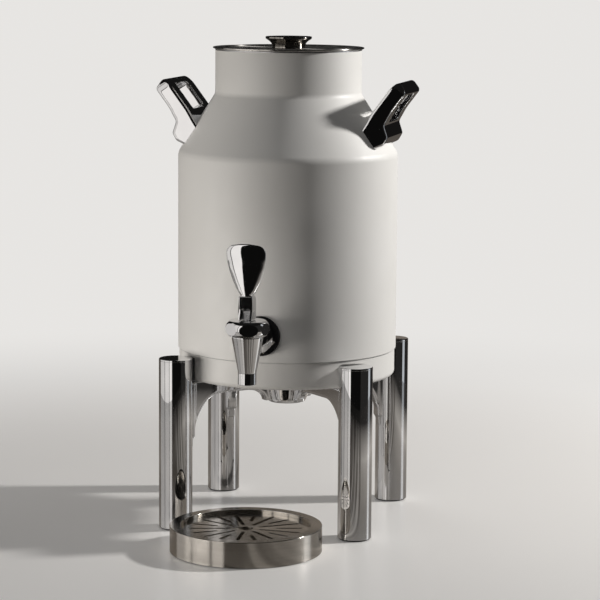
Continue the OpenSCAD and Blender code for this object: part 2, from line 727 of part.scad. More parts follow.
module post_cap(i) color("#d2d6da") at_post(i) {
    revolve([[0, post_h - post_cap_t, 0], [post_r, post_h - post_cap_t, 0], [post_r, post_h, cap_round],
             [0, post_h, 0]]);
    end_plug(post_h - post_cap_t - plug_len + 0.5);
}

module post_foot(i) color("#3a3a3a") at_post(i) {
    cylinder(r = post_r - post_foot_in, h = post_foot_h, $fn = FINE);
    end_plug(post_foot_h - 0.5);
}

module guide_pad(i) color("#c9cac8") rotate([0, 0, POSTS[i][1]]) difference() {
    translate([pad_in_r - 3, -pad_w / 2, arm_z]) cube([post_r, pad_w, pad_h]);
    translate([0, 0, arm_z - 1]) cylinder(r = pad_in_r, h = pad_h + 2, $fn = FINE);
    translate([post_circle_r, 0, arm_z - 1]) cylinder(r = post_r + fixed_gap, h = pad_h + 2, $fn = FINE);
}

// Side outline of one arm: x from the hub's axis, y the height
function arm_side() =
    let (low = arm_z - arm_t, end = post_in_r + 1.5)
    concat([[0, arm_z], [end, arm_z], [end, low - knee_drop]],
           [for (i = [0 : 12]) let (a = 90 * i / 12)
               [knee_in_r + knee_run * cos(a), low - knee_drop + knee_drop * sin(a)]],
           [for (i = [0 : 10]) let (a = 90 * i / 10)
               [hub_knee_r - hub_knee_run * sin(a), low - hub_knee_drop + hub_knee_drop * cos(a)]],
           [[0, low - hub_knee_drop]]);

// Plan of the saddle at one arm's end: x from the hub's axis
function saddle_plan() = let (near = post_in_r - saddle_t, far = post_in_r + saddle_t, w = saddle_w / 2)
    [[near, -w, saddle_round], [far, -w, 0], [far, w, 0], [near, w, saddle_round]];

module cross_frame() color("#c4c7ca") difference() {
    union() {
        revolve([[0, hub_end_z, 0], [hub_end_r, hub_end_z, 2.5], [hub_end_r + 2, hub_end_z + hub_rim_h, 3],
                 [hub_r, hub_top_z, 1], [0, hub_top_z, 0]]);
        for (p = POSTS) rotate([0, 0, p[1]]) rotate([90, 0, 0])
            linear_extrude(arm_w, center = true) polygon(arm_side());
        for (p = POSTS) rotate([0, 0, p[1]]) translate([0, 0, saddle_end_z])
            linear_extrude(arm_z - saddle_drop - saddle_end_z) polygon(outline(saddle_plan()));
    }
    for (p = POSTS) rotate([0, 0, p[1]]) translate([post_circle_r, 0, 0])
        cylinder(r = post_r + fixed_gap, h = arm_z + 1, $fn = FINE);
    translate([0, 0, hub_end_z - 1]) cylinder(r = pocket_r, h = pocket_h + 1);
    for (p = POSTS, z = frame_pin_z) rotate([0, 0, p[1]]) translate([post_in_r - frame_pin_len, 0, z])
        rotate([0, 90, 0]) cylinder(r = frame_pin_r + fixed_gap, h = frame_pin_len + post_wall, $fn = 48);
}

module frame_pins() color("#9aa0a5")
    for (p = POSTS, z = frame_pin_z) rotate([0, 0, p[1]])
        translate([post_in_r - frame_pin_len + fixed_gap, 0, z]) rotate([0, 90, 0])
            cylinder(r = frame_pin_r, h = frame_pin_len + post_wall - 3 * fixed_gap, $fn = 48);

module hub_cap() color("#c4c7ca") translate([0, 0, hub_end_z])
    cylinder(r = pocket_r - fixed_gap, h = hub_cap_t);

// ---- drip tray ----

module at_tray() translate([0, -tray_y, 0]) children();

module tray_pan() color("#b7b1a7") at_tray() {
    w = tray_wall;
    revolve([[tray_r, skirt_clear, 0], [tray_r, tray_h, 0.7], [well_r, tray_h, 0.7],
             [well_r, ledge_z, 0], [well_r - ledge_w, ledge_z, 0.5],
             [well_r - ledge_w, tray_foot_h + w, 2], [0, tray_foot_h + w, 0], [0, tray_foot_h, 0],
             [well_r - ledge_w + w, tray_foot_h, 3], [well_r - ledge_w + w, ledge_z - w, 0],
             [well_r + w, ledge_z - w, 0], [well_r + w, tray_h - w, 0], [tray_r - w, tray_h - w, 0],
             [tray_r - w, skirt_clear, 0]]);
}

module tray_feet() color("#2c2c2c") at_tray()
    for (k = [0 : 2]) rotate([0, 0, 30 + 120 * k]) translate([tray_foot_circle, 0, 0])
        cylinder(r = tray_foot_r, h = tray_foot_h);

module slot(r0, r1) translate([0, 0, ledge_z - 1]) {
    translate([r0, -slot_w / 2, 0]) cube([r1 - r0, slot_w, grille_t + 2]);
    for (r = [r0, r1]) translate([r, 0, 0]) cylinder(r = slot_w / 2, h = grille_t + 2, $fn = 32);
}

module tray_grille() color("#a8a39a") at_tray() difference() {
    translate([0, 0, ledge_z]) cylinder(r = grille_r, h = grille_t, $fn = FINE);
    translate([0, 0, ledge_z - 1]) cylinder(r = grille_hole_r, h = grille_t + 2);
    for (k = [0 : slot_count - 1]) rotate([0, 0, grille_turn + 360 * k / slot_count])
        slot(k % 2 == 1 ? slot_long_r : slot_short_r, slot_end_r - slot_w / 2);
}

// ---- all the pieces, each in its place ----

translate([0, axis_y, 0]) {
    for (i = [0 : 3]) {
        post(i);
        post_cap(i);
        post_foot(i);
        guide_pad(i);
    }
    cross_frame();
    frame_pins();
    hub_cap();
    outer_shell();
    base_pan();
    seam_gasket();
    inner_tank();
    insulation();
    handle(-1);  // handle_left
    handle(1);  // handle_right
    handle_screws(-1);  // handle_screws_left
    handle_screws(1);  // handle_screws_right
    tap_gasket();
    tap_nut();
    tap_shank();
    wall_spacer();
    tank_washer();
    lock_nut();
    tap_body();
    tap_bonnet();
    valve_spring();
    valve_stem();
    valve_cup();
    lever_pin();
    tap_lever();
    lid_top();
    lid_liner();
    lid_seal();
    lid_knob();
    knob_screw();
    tray_pan();
    tray_feet();
    tray_grille();
}
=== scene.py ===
"""The looks of the churn-shaped hot drink urn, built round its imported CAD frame.

Shapes are worked out in millimetres and scaled to metres when a mesh is made.
"""

import json
import math

import bmesh
import bpy
from mathutils import Matrix, Vector


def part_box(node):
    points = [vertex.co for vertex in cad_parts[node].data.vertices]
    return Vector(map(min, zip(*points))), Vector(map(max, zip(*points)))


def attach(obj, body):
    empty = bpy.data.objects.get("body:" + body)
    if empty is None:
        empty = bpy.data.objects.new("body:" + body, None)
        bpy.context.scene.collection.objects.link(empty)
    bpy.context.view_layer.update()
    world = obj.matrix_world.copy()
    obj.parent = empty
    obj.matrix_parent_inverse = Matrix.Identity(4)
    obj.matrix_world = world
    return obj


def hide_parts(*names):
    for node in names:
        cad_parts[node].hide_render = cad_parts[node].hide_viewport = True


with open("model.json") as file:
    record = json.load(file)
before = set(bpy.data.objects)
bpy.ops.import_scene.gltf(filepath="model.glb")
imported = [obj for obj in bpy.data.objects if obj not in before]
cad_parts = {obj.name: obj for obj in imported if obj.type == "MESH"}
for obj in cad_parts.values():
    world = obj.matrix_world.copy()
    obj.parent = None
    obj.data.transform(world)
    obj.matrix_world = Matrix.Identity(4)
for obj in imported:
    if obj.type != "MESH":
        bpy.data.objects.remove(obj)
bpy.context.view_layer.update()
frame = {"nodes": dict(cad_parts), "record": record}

MM = 0.001
X, Y, Z = 0, 1, 2
TURNS, SMALL_TURNS = 192, 96  # faces round a large and a small turned piece
POST_TURNS, SPOUT_TURNS, FOOT_TURNS, PIN_TURNS = 160, 128, 64, 48
WALL_TURNS = 256  # faces round the wall that the handles are cut to
ARC_STEP = 9  # degrees of an arc per edge
SHARP = math.radians(32)  # edges that turn by more stay sharp
TINY = 1e-4  # lengths and angles below this count as nothing

RECORD = frame["record"]
BODY_OF = {node: body for body, nodes in RECORD["behaviour"]["bodies"].items() for node in nodes}
SLOT_OF = {part["node"]: part["material_slot"] for part in RECORD["subparts"]}
CORNERS = ("front_left", "front_right", "back_left", "back_right")


# ---- sizes: from the frame where a node's box holds them ----


def low(node, axis):
    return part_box(node)[0][axis] / MM


def high(node, axis):
    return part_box(node)[1][axis] / MM


def middle(node, axis):
    return (low(node, axis) + high(node, axis)) / 2


def half(node, axis):
    return (high(node, axis) - low(node, axis)) / 2


AXIS_Y = middle("outer_shell", Y)
BODY_R = half("outer_shell", Y)
BAND_R = half("base_pan", Y)
BASE_Z = low("base_pan", Z)
SEAM_LOW, SEAM_HIGH = low("seam_gasket", Z), high("seam_gasket", Z)
SHELL_TOP = high("outer_shell", Z)
SHELL_WALL = 1.2
NECK_R = 75.0
SHOULDER_Z = BASE_Z + 229.5
NECK_Z = SHOULDER_Z + 60.5
SHOULDER_ROUND, NECK_ROUND = 14.0, 10.0
SHOULDER_ANGLE = math.atan((BODY_R - NECK_R) / (NECK_Z - SHOULDER_Z))

TANK_R = half("inner_tank", Y)
TANK_FLOOR = low("inner_tank", Z)
RIM_Z = high("inner_tank", Z)
TANK_NECK_R, TANK_WALL, TANK_DROP, TANK_ROUND, TANK_FOOT = 66.5, 1.0, 4.0, 12, 20

LID_R, LID_TOP = half("lid_top", X), high("lid_top", Z)
DISH_Z = low("lid_knob", Z)
LID_RIM_W, LID_EDGE = 9.0, 1.2
KNOB_R, KNOB_TOP, KNOB_WAIST = half("lid_knob", X), high("lid_knob", Z), 17.2
PLUG_Z, PLUG_R = low("lid_liner", Z), half("lid_liner", X) - 1
SEAL_LOW, SEAL_HIGH, SEAL_R = low("lid_seal", Z), high("lid_seal", Z), half("lid_seal", X)

SPOUT_Y = middle("valve_stem", Y)
TAP_Z = middle("tap_shank", Z)
TIP_Z = low("tap_body", Z)
BONNET_TOP = high("tap_bonnet", Z)
BONNET_Z = BONNET_TOP - 15.5
BONNET_R, BONNET_END_R, BONNET_FLAT, BONNET_TURN = 21.7, 17.6, 19.6, 42
CONE_R, TIP_R, TIP_H, OUTLET_R, CHAMBER_R = 15.7, 9.2, 12.0, 6.5, 11.0
SEAT_Z = TAP_Z - 10
WATER_R, BARREL_R, SPRING_R, STEM_R, SKIRT = 5.5, 10.5, 9, 4.05, 6
GASKET_R, GASKET_BORE = half("tap_gasket", X), 8.9
NUT_AF, NUT_TURN, NUT_CHAMFER, NUT_BORE = 31.0, 14, 1.6, 8.85

PIN_Z, PIN_R = middle("lever_pin", Z), half("lever_pin", Z)
NECK_W, NECK_D = 2 * half("lever_pin", X), 17.0
PADDLE_W, PADDLE_TOP = 2 * half("tap_lever", X), high("tap_lever", Z) - PIN_Z
FOOT_DROP, TRAVEL, LIFT = 7.0, 27.0, 3.5
SLOT_W, SLOT_TOP, SLOT_ROUND, NECK_TOP = 10.0, 5.2, 2.4, 17.0

ARM_Z = high("cross_frame", Z)
ARM_T, ARM_W = 14.5, 9.0
POST_R, POST_TOP = half("cap_front_left", X), high("cap_front_left", Z)
POST_FOOT = low("post_front_left", Z)
POST_CIRCLE = math.hypot(middle("cap_front_left", X), middle("cap_front_left", Y) - AXIS_Y)
POST_IN = POST_CIRCLE - POST_R
POST_WALL, CAP_SKIRT, FOOT_INSET = 2.0, 9.5, 1.5
KNEE_DROP, KNEE_RUN, KNEE_END = 53.0, 33.0, POST_IN - 1
SADDLE_T, SADDLE_W, SADDLE_LOW = 3.0, 13.0, ARM_Z - ARM_T - 0.8 * KNEE_DROP
HUB_R, HUB_END_R, HUB_Z = 28.0, 19.0, low("hub_cap", Z)
HUB_RUN, HUB_DROP = 22, 13
POCKET_R, POCKET_H = 14.0, 18.0
PAD_IN, PAD_W = BAND_R + 0.4, 8.0
PAD_LOW, PAD_HIGH = low("pad_front_left", Z), high("pad_front_left", Z)

TRAY_Y, TRAY_R, TRAY_TOP = middle("tray_pan", Y), half("tray_pan", X), high("tray_pan", Z)
TRAY_LOW = low("tray_pan", Z)
GRILLE_LOW, GRILLE_HIGH = low("tray_grille", Z), high("tray_grille", Z)
GRILLE_R = half("tray_grille", X)
TRAY_FLOOR, RUBBER_R, RUBBER_CIRCLE = high("tray_feet", Z), 7, 50
WELL_R, LEDGE_W, TRAY_WALL = TRAY_R - 11, 4.5, 1.5
SLOT_COUNT, GRILLE_SLOT, GRILLE_HOLE = 18, 3.7, 7.2
SLOT_LONG, SLOT_SHORT, SLOT_END, SLOT_TURN = 15.5, 31.0, 56.0, 15

HANDLE_LEAN, HANDLE_W, HANDLE_LEN = math.radians(57), 84.0, 59.0
HANDLE_UP = 21.5  # from the foot of the shoulder
HANDLE_X, HANDLE_Z = BODY_R - HANDLE_UP * math.tan(SHOULDER_ANGLE), SHOULDER_Z + HANDLE_UP
BAR_BACK, FOOT_OUT, HANDLE_EDGE, HANDLE_CORNER = -15.0, 11.0, 2.5, 13.0
WINDOW_W, WINDOW_LOW, WINDOW_HIGH, WINDOW_ROUND = 43.0, 17.0, 49.0, 4.0


# ---- camera ----

CAMERA_TURN = math.radians(13.3)  # towards +X from the tap's side
CAMERA_PITCH = math.radians(8.204)
CAMERA_ROLL = math.radians(0.383)
CAMERA_AWAY, CAMERA_ASIDE, CAMERA_UP = 2464.4, 13.28, 581.0
FOCAL_PX, FRAME_PX, SENSOR = 2397.6, 600, 36.0


def make_camera():
    data = bpy.data.cameras.new("camera")
    data.sensor_width = SENSOR
    data.lens = FOCAL_PX * SENSOR / FRAME_PX
    data.clip_end = 100
    camera = bpy.data.objects.new("camera", data)
    bpy.context.scene.collection.objects.link(camera)
    s, c = math.sin(CAMERA_TURN), math.cos(CAMERA_TURN)
    aside = Vector((c, s, 0))
    level = Vector((-s, c, 0))
    forward = level * math.cos(CAMERA_PITCH) - Vector((0, 0, math.sin(CAMERA_PITCH)))
    up = aside.cross(forward)
    right = aside * math.cos(CAMERA_ROLL) + up * math.sin(CAMERA_ROLL)
    up = right.cross(forward)
    place = Vector((0, AXIS_Y, CAMERA_UP)) + aside * CAMERA_ASIDE - level * CAMERA_AWAY
    turn = Matrix((right, up, -forward)).transposed().to_4x4()
    camera.matrix_world = Matrix.Translation(place * MM) @ turn
    bpy.context.scene.camera = camera


# ---- materials ----


class Shader:
    """A material whose nodes are added by name and linked by socket."""

    def __init__(self, name):
        self.material = bpy.data.materials.new(name)
        self.material.use_nodes = True
        self.tree = self.material.node_tree
        self.surface = self.tree.nodes["Principled BSDF"]

    def set(self, **values):
        for name, value in values.items():
            self.surface.inputs[name.replace("_", " ")].default_value = value
        return self

    def node(self, kind, **values):
        made = self.tree.nodes.new(kind)
        for name, value in values.items():
            if hasattr(made, name):
                setattr(made, name, value)
            else:
                made.inputs[name.replace("_", " ")].default_value = value
        return made

    def link(self, source, target):
        self.tree.links.new(source, target)

    def place(self):
        """Object coordinates, which are the row frame in metres."""
        return self.node("ShaderNodeTexCoord").outputs["Object"]

    def noise(self, where, scale, detail=4.0, roughness=0.55):
        made = self.node("ShaderNodeTexNoise", Scale=scale, Detail=detail, Roughness=roughness)
        self.link(where, made.inputs["Vector"])
        return made.outputs["Fac"]

    def ramp(self, source, low_in, high_in, low_out, high_out, shape="LINEAR"):
        """Maps a range to another and holds its ends beyond it."""
        made = self.node("ShaderNodeMapRange", interpolation_type=shape)
        values = (low_in, high_in, low_out, high_out)
        for socket, value in zip(("From Min", "From Max", "To Min", "To Max"), values):
            made.inputs[socket].default_value = value
        self.link(source, made.inputs["Value"])
        return made.outputs["Result"]

    def mix(self, factor, first, second):
        """A mix of two colours, each of them a tuple or a socket."""
        made = self.node("ShaderNodeMix", data_type="RGBA")
        self.link(factor, made.inputs[0])
        for socket, source in ((made.inputs[6], first), (made.inputs[7], second)):
            if isinstance(source, tuple):
                socket.default_value = (*source, 1)
            else:
                self.link(source, socket)
        return made.outputs[2]

    def maths(self, operation, first, second):
        made = self.node("ShaderNodeMath", operation=operation)
        self.link(first, made.inputs[0])
        self.link(second, made.inputs[1])
        return made.outputs[0]

    def length(self, vector):
        made = self.node("ShaderNodeVectorMath", operation="LENGTH")
        self.link(vector, made.inputs[0])
        return made.outputs["Value"]

    def split(self, vector):
        made = self.node("ShaderNodeSeparateXYZ")
        self.link(vector, made.inputs[0])
        return made.outputs

    def vector(self, x, y):
        made = self.node("ShaderNodeCombineXYZ")
        self.link(x, made.inputs["X"])
        self.link(y, made.inputs["Y"])
        return made.outputs[0]

    def bump(self, height, distance, strength, under=None):
        made = self.node("ShaderNodeBump", Strength=strength, Distance=distance)
        self.link(height, made.inputs["Height"])
        if under is not None:
            self.link(under, made.inputs["Normal"])
        return made.outputs["Normal"]

    def wear(self, colour=None, roughness=None, normal=None):
        wired = {"Base Color": colour, "Roughness": roughness, "Normal": normal}
        for target, source in wired.items():
            if source is not None:
                self.link(source, self.surface.inputs[target])
        return self.material


def powder_coat():
    s = Shader("white_coating").set(Specular_IOR_Level=0.4)
    where = s.place()
    cloud = s.ramp(s.noise(where, 9, 3), 0.35, 0.65, 0, 1)
    colour = s.mix(cloud, (0.79, 0.775, 0.745), (0.81, 0.797, 0.77))
    rough = s.ramp(s.noise(where, 60, 4), 0.3, 0.7, 0.44, 0.52)
    peel = s.bump(s.noise(where, 420, 2), 0.00006, 0.35)
    grain = s.bump(s.noise(where, 2600, 2), 0.00003, 0.35, under=peel)
    return s.wear(colour, rough, grain)


def chrome():
    s = Shader("chrome").set(Metallic=1.0)
    where = s.place()
    smear = s.noise(where, 34, 5, 0.6)
    colour = s.mix(s.ramp(smear, 0.35, 0.7, 0, 1), (0.80, 0.80, 0.81), (0.86, 0.86, 0.865))
    rough = s.ramp(smear, 0.45, 0.8, 0.02, 0.06)
    flow = s.bump(s.noise(where, 26, 1), 0.0005, 0.06)
    return s.wear(colour, rough, flow)


LINE_SCALE = 5200  # of the noise that draws the lines of turned steel


def turned_steel(name, centre_y, dark, pale, rough):
    """Stainless steel with fine lines that run round an upright axis at centre_y."""
    s = Shader(name).set(Metallic=1.0, Anisotropic=0.95, Anisotropic_Rotation=0.25)
    where = s.place()
    centred = s.node("ShaderNodeVectorMath", operation="SUBTRACT")
    s.link(where, centred.inputs[0])
    centred.inputs[1].default_value = (0, centre_y * MM, 0)
    split = s.split(centred.outputs[0])
    away = s.length(s.vector(split["X"], split["Y"]))
    rings = s.vector(away, split["Z"])
    fine = s.noise(rings, LINE_SCALE, 3, 0.7)
    broad = s.noise(rings, LINE_SCALE / 9, 2)
    colour = s.mix(s.ramp(broad, 0.3, 0.7, 0, 1), dark, pale)
    patch = s.ramp(s.noise(where, 40, 4), 0.4, 0.7, 0, 0.05)
    sheen = s.maths("ADD", s.ramp(fine, 0.3, 0.7, *rough), patch)
    return s.wear(colour, sheen, s.bump(fine, 0.00002, 0.5))


def satin_steel():
    s = Shader("satin_steel").set(Metallic=1.0)
    where = s.place()
    fine = s.noise(where, 900, 3)
    cloud = s.ramp(s.noise(where, 50), 0.3, 0.7, 0, 1)
    colour = s.mix(cloud, (0.52, 0.52, 0.53), (0.6, 0.6, 0.6))
    return s.wear(colour, s.ramp(fine, 0.3, 0.7, 0.24, 0.36), s.bump(fine, 0.00002, 0.3))


def moulded(name, dark, pale, rough, grain=1500, depth=0.00004, see_through=0.0, shine=0.5):
    """Moulded plastic or rubber with a fine mould grain."""
    s = Shader(name).set(Transmission_Weight=see_through, Specular_IOR_Level=shine)
    where = s.place()
    colour = s.mix(s.ramp(s.noise(where, 45), 0.35, 0.65, 0, 1), dark, pale)
    worn = s.ramp(s.noise(where, 120), 0.3, 0.7, rough - 0.05, rough + 0.05)
    return s.wear(colour, worn, s.bump(s.noise(where, grain, 2), depth, 0.5))


MATERIALS = {
    "white_coating": powder_coat(),
    "chrome": chrome(),
    "stainless": satin_steel(),
    "brushed_stainless": turned_steel(
        "lid_steel", AXIS_Y, (0.46, 0.44, 0.415), (0.55, 0.53, 0.505), (0.18, 0.3)),
    "black_rubber": moulded(
        "black_rubber", (0.004, 0.004, 0.0045), (0.008, 0.008, 0.009), 0.6, shine=0.15),
    "silicone": moulded("silicone", (0.55, 0.55, 0.54), (0.62, 0.62, 0.61), 0.4, see_through=0.3),
    "dark_plastic": moulded("dark_plastic", (0.03, 0.03, 0.032), (0.045, 0.045, 0.047), 0.45),
    "insulation_foam": moulded(
        "foam", (0.6, 0.5, 0.28), (0.72, 0.62, 0.38), 0.8, grain=300, depth=0.0004),
}
TRAY_STEEL = turned_steel(
    "tray_steel", TRAY_Y, (0.6, 0.565, 0.515), (0.7, 0.665, 0.615), (0.08, 0.17))
# painted shade: the knob's steel is a darker copy of the lid's, so that it looks as if it mirrors
# dark surroundings
KNOB_STEEL_PAINTED_DARK = turned_steel(
    "knob_steel", AXIS_Y, (0.36, 0.34, 0.315), (0.42, 0.4, 0.37), (0.04, 0.08))


# ---- mesh helpers ----


def fillet(a, b, c, radius):
    """Points of the arc that rounds corner b between a and c."""
    to_a, to_c = (a - b).normalized(), (c - b).normalized()
    half_angle = to_a.angle(to_c) / 2
    if math.pi / 2 - half_angle < TINY:
        return [b]
    centre = b + (to_a + to_c).normalized() * radius / math.sin(half_angle)
    start = b + to_a * radius / math.tan(half_angle) - centre
    sweep = start.angle_signed(b + to_c * radius / math.tan(half_angle) - centre)
    steps = max(2, math.ceil(math.degrees(abs(sweep)) / ARC_STEP))
    turned = [start.copy() for _ in range(steps + 1)]
    for i, spoke in enumerate(turned):
        spoke.rotate(Matrix.Rotation(-sweep * i / steps, 2))
    return [centre + spoke for spoke in turned]


def rounded(corners):
    """Closed outline from corners (x, y) or (x, y, radius)."""
    points = [Vector(corner[:2]) for corner in corners]
    outline = []
    for i, corner in enumerate(corners):
        radius = corner[2] if len(corner) > 2 else 0
        if radius > 0:
            outline += fillet(points[i - 1], points[i], points[(i + 1) % len(points)], radius)
        else:
            outline.append(points[i])
    return outline


def box_outline(x0, x1, y0, y1, radius):
    return rounded([(x0, y0, radius), (x1, y0, radius), (x1, y1, radius), (x0, y1, radius)])


def hexagon(flat, turn):
    """Corners of a hexagon whose flats lie at a distance of flat from its centre."""
    corners = [Vector((flat / math.cos(math.pi / 6), 0)) for _ in range(6)]
    for i, corner in enumerate(corners):
        corner.rotate(Matrix.Rotation(math.radians(-60 * i - turn), 2))
    return corners


def ring_line(inner, outer, z0, z1, low_edge=0, high_edge=0):
    """Corners of a ring's section for lathe, or of a disc's where inner is 0."""
    return [(inner, z0), (outer, z0, low_edge), (outer, z1, high_edge), (inner, z1)]


def lathe(corners, turns=TURNS):
    """Solid from a closed outline of (radius, height, rounding), turned about Z."""
    bm = bmesh.new()
    rings = []
    for r, z in rounded(corners):
        count = turns if r > TINY else 1
        angles = [2 * math.pi * i / turns for i in range(count)]
        rings.append([bm.verts.new((r * math.cos(a), r * math.sin(a), z)) for a in angles])
    for lower, upper in zip(rings, rings[1:] + rings[:1]):
        for i in range(turns if len(lower) + len(upper) > 2 else 0):
            around = ((lower, i), (lower, i + 1), (upper, i + 1), (upper, i))
            bm.faces.new(list(dict.fromkeys(ring[k % len(ring)] for ring, k in around)))
    return bm


def slab(outline, z0, z1, edge=0.0, segments=4):
    """Solid from an outline drawn upwards from z0 to z1, with its rims rounded by edge."""
    bm = bmesh.new()
    base = bm.faces.new([bm.verts.new((x, y, z0)) for x, y in outline])
    grown = bmesh.ops.extrude_face_region(bm, geom=[base])["geom"]
    upper = [v for v in grown if isinstance(v, bmesh.types.BMVert)]
    bmesh.ops.translate(bm, vec=(0, 0, z1 - z0), verts=upper)
    bmesh.ops.recalc_face_normals(bm, faces=bm.faces)
    if edge > 0:
        rims = [e for e in bm.edges if abs(e.verts[0].co.z - e.verts[1].co.z) < TINY]
        bmesh.ops.bevel(bm, geom=rims, offset=edge, segments=segments, profile=0.5, affect="EDGES")
    return bm


def skin(bm, rings, closed=False):
    """Faces between rings of equal numbers of points, also from last to first where closed."""
    for lower, upper in zip(rings, rings[1:] + rings[:1] if closed else rings[1:]):
        for i in range(len(lower)):
            j = (i + 1) % len(lower)
            bm.faces.new((lower[i], lower[j], upper[j], upper[i]))


def loft(rings):
    """Solid skin over rings of equal numbers of points, closed at both ends."""
    bm = bmesh.new()
    made = [[bm.verts.new(point) for point in ring] for ring in rings]
    skin(bm, made)
    bm.faces.new(made[0])
    bm.faces.new(made[-1])
    return bm


def moved(bm, matrix):
    bmesh.ops.transform(bm, matrix=matrix, verts=bm.verts)
    if matrix.determinant() < 0:
        bmesh.ops.reverse_faces(bm, faces=bm.faces)
    return bm


def joined(*parts):
    """One bmesh of several."""
    whole = bmesh.new()
    for part in parts:
        mesh = bpy.data.meshes.new("part")
        part.to_mesh(mesh)
        part.free()
        whole.from_mesh(mesh)
        bpy.data.meshes.remove(mesh)
    return whole


def as_object(bm, name="scratch"):
    mesh = bpy.data.meshes.new(name)
    bm.to_mesh(mesh)
    bm.free()
    made = bpy.data.objects.new(name, mesh)
    bpy.context.scene.collection.objects.link(made)
    return made


def scrap_of(bm):
    """A solid as an object for modifiers to work on."""
    bmesh.ops.recalc_face_normals(bm, faces=bm.faces)
    return as_object(bm)


def reaped(*scraps):
    """The first scrap with its modifiers, as a bmesh. The scraps go."""
    depsgraph = bpy.context.evaluated_depsgraph_get()
    meshes = [bpy.data.meshes.new_from_object(scraps[0].evaluated_get(depsgraph))]
    result = bmesh.new()
    result.from_mesh(meshes[0])
    for scrap in scraps:
        meshes.append(scrap.data)
        bpy.data.objects.remove(scrap)
    for mesh in meshes:
        bpy.data.meshes.remove(mesh)
    return result


def combine(first, second, operation):
    """Boolean of two solids, as a new bmesh."""
    a, b = scrap_of(first), scrap_of(second)
    modifier = a.modifiers.new("combine", "BOOLEAN")
    modifier.operation, modifier.object, modifier.solver = operation, b, "EXACT"
    result = reaped(a, b)
    bmesh.ops.remove_doubles(result, verts=result.verts, dist=TINY)
    bmesh.ops.dissolve_degenerate(result, edges=result.edges, dist=TINY)
    return result


def without(first, second):
    return combine(first, second, "DIFFERENCE")


def soften(bm, width, angle, segments):
    """Rounds every edge that turns by more than angle."""
    limit = math.radians(angle)
    sharp = [e for e in bm.edges if len(e.link_faces) == 2 and e.calc_face_angle() > limit]
    bmesh.ops.bevel(bm, geom=sharp, offset=width, segments=segments, profile=0.5, affect="EDGES",
                    clamp_overlap=True)
    return bm


def cast(bm, voxel, rounds):
    """Melts solids into one skin and eases its edges, as polishing does to a casting."""
    scrap = scrap_of(bm)
    remesh = scrap.modifiers.new("melt", "REMESH")
    remesh.mode, remesh.voxel_size = "VOXEL", voxel
    ease = scrap.modifiers.new("ease", "SMOOTH")
    ease.factor, ease.iterations = 0.5, rounds
    return reaped(scrap)


def piece(node, bm, material=None):
    """Puts a solid in place of a CAD node, on the node's body and in its slot's material."""
    bmesh.ops.recalc_face_normals(bm, faces=bm.faces)
    bmesh.ops.scale(bm, vec=(MM, MM, MM), verts=bm.verts)
    for face in bm.faces:
        face.smooth = True
    for edge in bm.edges:
        edge.smooth = len(edge.link_faces) == 2 and edge.calc_face_angle() < SHARP
    made = as_object(bm, node + "_form")
    made.data.materials.append(material or MATERIALS[SLOT_OF[node]])
    made.modifiers.new("even_normals", "WEIGHTED_NORMAL").keep_sharp = True
    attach(made, BODY_OF[node])
    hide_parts(node)


def quarter(axis):
    return Matrix.Rotation(math.pi / 2, 4, axis)


def about_z(angle):
    return Matrix.Rotation(angle, 4, "Z")


def on_axis():
    return Matrix.Translation((0, AXIS_Y, 0))


def at_spout(z=0.0):
    return Matrix.Translation((0, SPOUT_Y, z))


def at_tray():
    return Matrix.Translation((0, TRAY_Y, 0))


def towards_tap(away=0.0):
    """Turns local Z to -Y, from the vessel's axis at the height of the tap's inlet."""
    return Matrix.Translation((0, AXIS_Y - away, TAP_Z)) @ quarter("X")


def corner_turn(corner):
    """Turn about the vessel's axis that brings +X towards a post."""
    angle = math.atan2(middle("cap_" + corner, Y) - AXIS_Y, middle("cap_" + corner, X))
    return on_axis() @ about_z(angle)


# ---- vessel ----


def wall_line(inset, z0, z1, end=0.0):
    """Line of the vessel's wall from z0 up to z1, inset from the shell."""
    drop = inset * math.tan(SHOULDER_ANGLE / 2)
    return [
        (BODY_R - inset, z0, end),
        (BODY_R - inset, SHOULDER_Z - drop, SHOULDER_ROUND - inset),
        (NECK_R - inset, NECK_Z - drop, NECK_ROUND + inset),
        (NECK_R - inset, z1, end),
    ]


def tank_line(inset):
    """Corners of the tank's shoulder and neck, inset from its outside."""
    drop = inset * math.tan(SHOULDER_ANGLE / 2)
    shoulder = SHOULDER_Z - TANK_DROP
    neck = shoulder + (TANK_R - TANK_NECK_R) / math.tan(SHOULDER_ANGLE)
    return [
        (TANK_R - inset, shoulder - drop, TANK_ROUND - inset),
        (TANK_NECK_R - inset, neck - drop, NECK_ROUND + inset),
    ]


def outer_shell():
    outside = wall_line(0, SEAM_HIGH, SHELL_TOP, 0.45)
    inside = wall_line(SHELL_WALL, SEAM_HIGH, SHELL_TOP)
    piece("outer_shell", moved(lathe(outside + inside[::-1]), on_axis()))


def base_pan():
    """A raised floor in a foot ring, the band under the seam and a collar inside the shell."""
    w, ring, slope = 1.2, BAND_R - 16, 4
    floor, collar, collar_top = BASE_Z + slope, BODY_R - SHELL_WALL - 0.3, SEAM_LOW + 9
    outline = [
        (0, floor), (ring - slope, floor, 2), (ring, BASE_Z, 2), (BAND_R, BASE_Z, 5),
        (BAND_R, SEAM_LOW, 0.45), (collar, SEAM_LOW), (collar, collar_top),
        (collar - w, collar_top), (collar - w, SEAM_LOW - w), (BAND_R - w, SEAM_LOW - 3 * w),
        (BAND_R - w, BASE_Z + w, 3.8), (ring + w / 2, BASE_Z + w, 1),
        (ring - slope + w / 2, floor + w, 1), (0, floor + w),
    ]
    piece("base_pan", moved(lathe(outline), on_axis()))


def seam_gasket():
    inner, outer = BODY_R - SHELL_WALL - 0.25, half("seam_gasket", Y)
    gasket = lathe(ring_line(inner, outer, SEAM_LOW, SEAM_HIGH))
    piece("seam_gasket", moved(gasket, on_axis()))


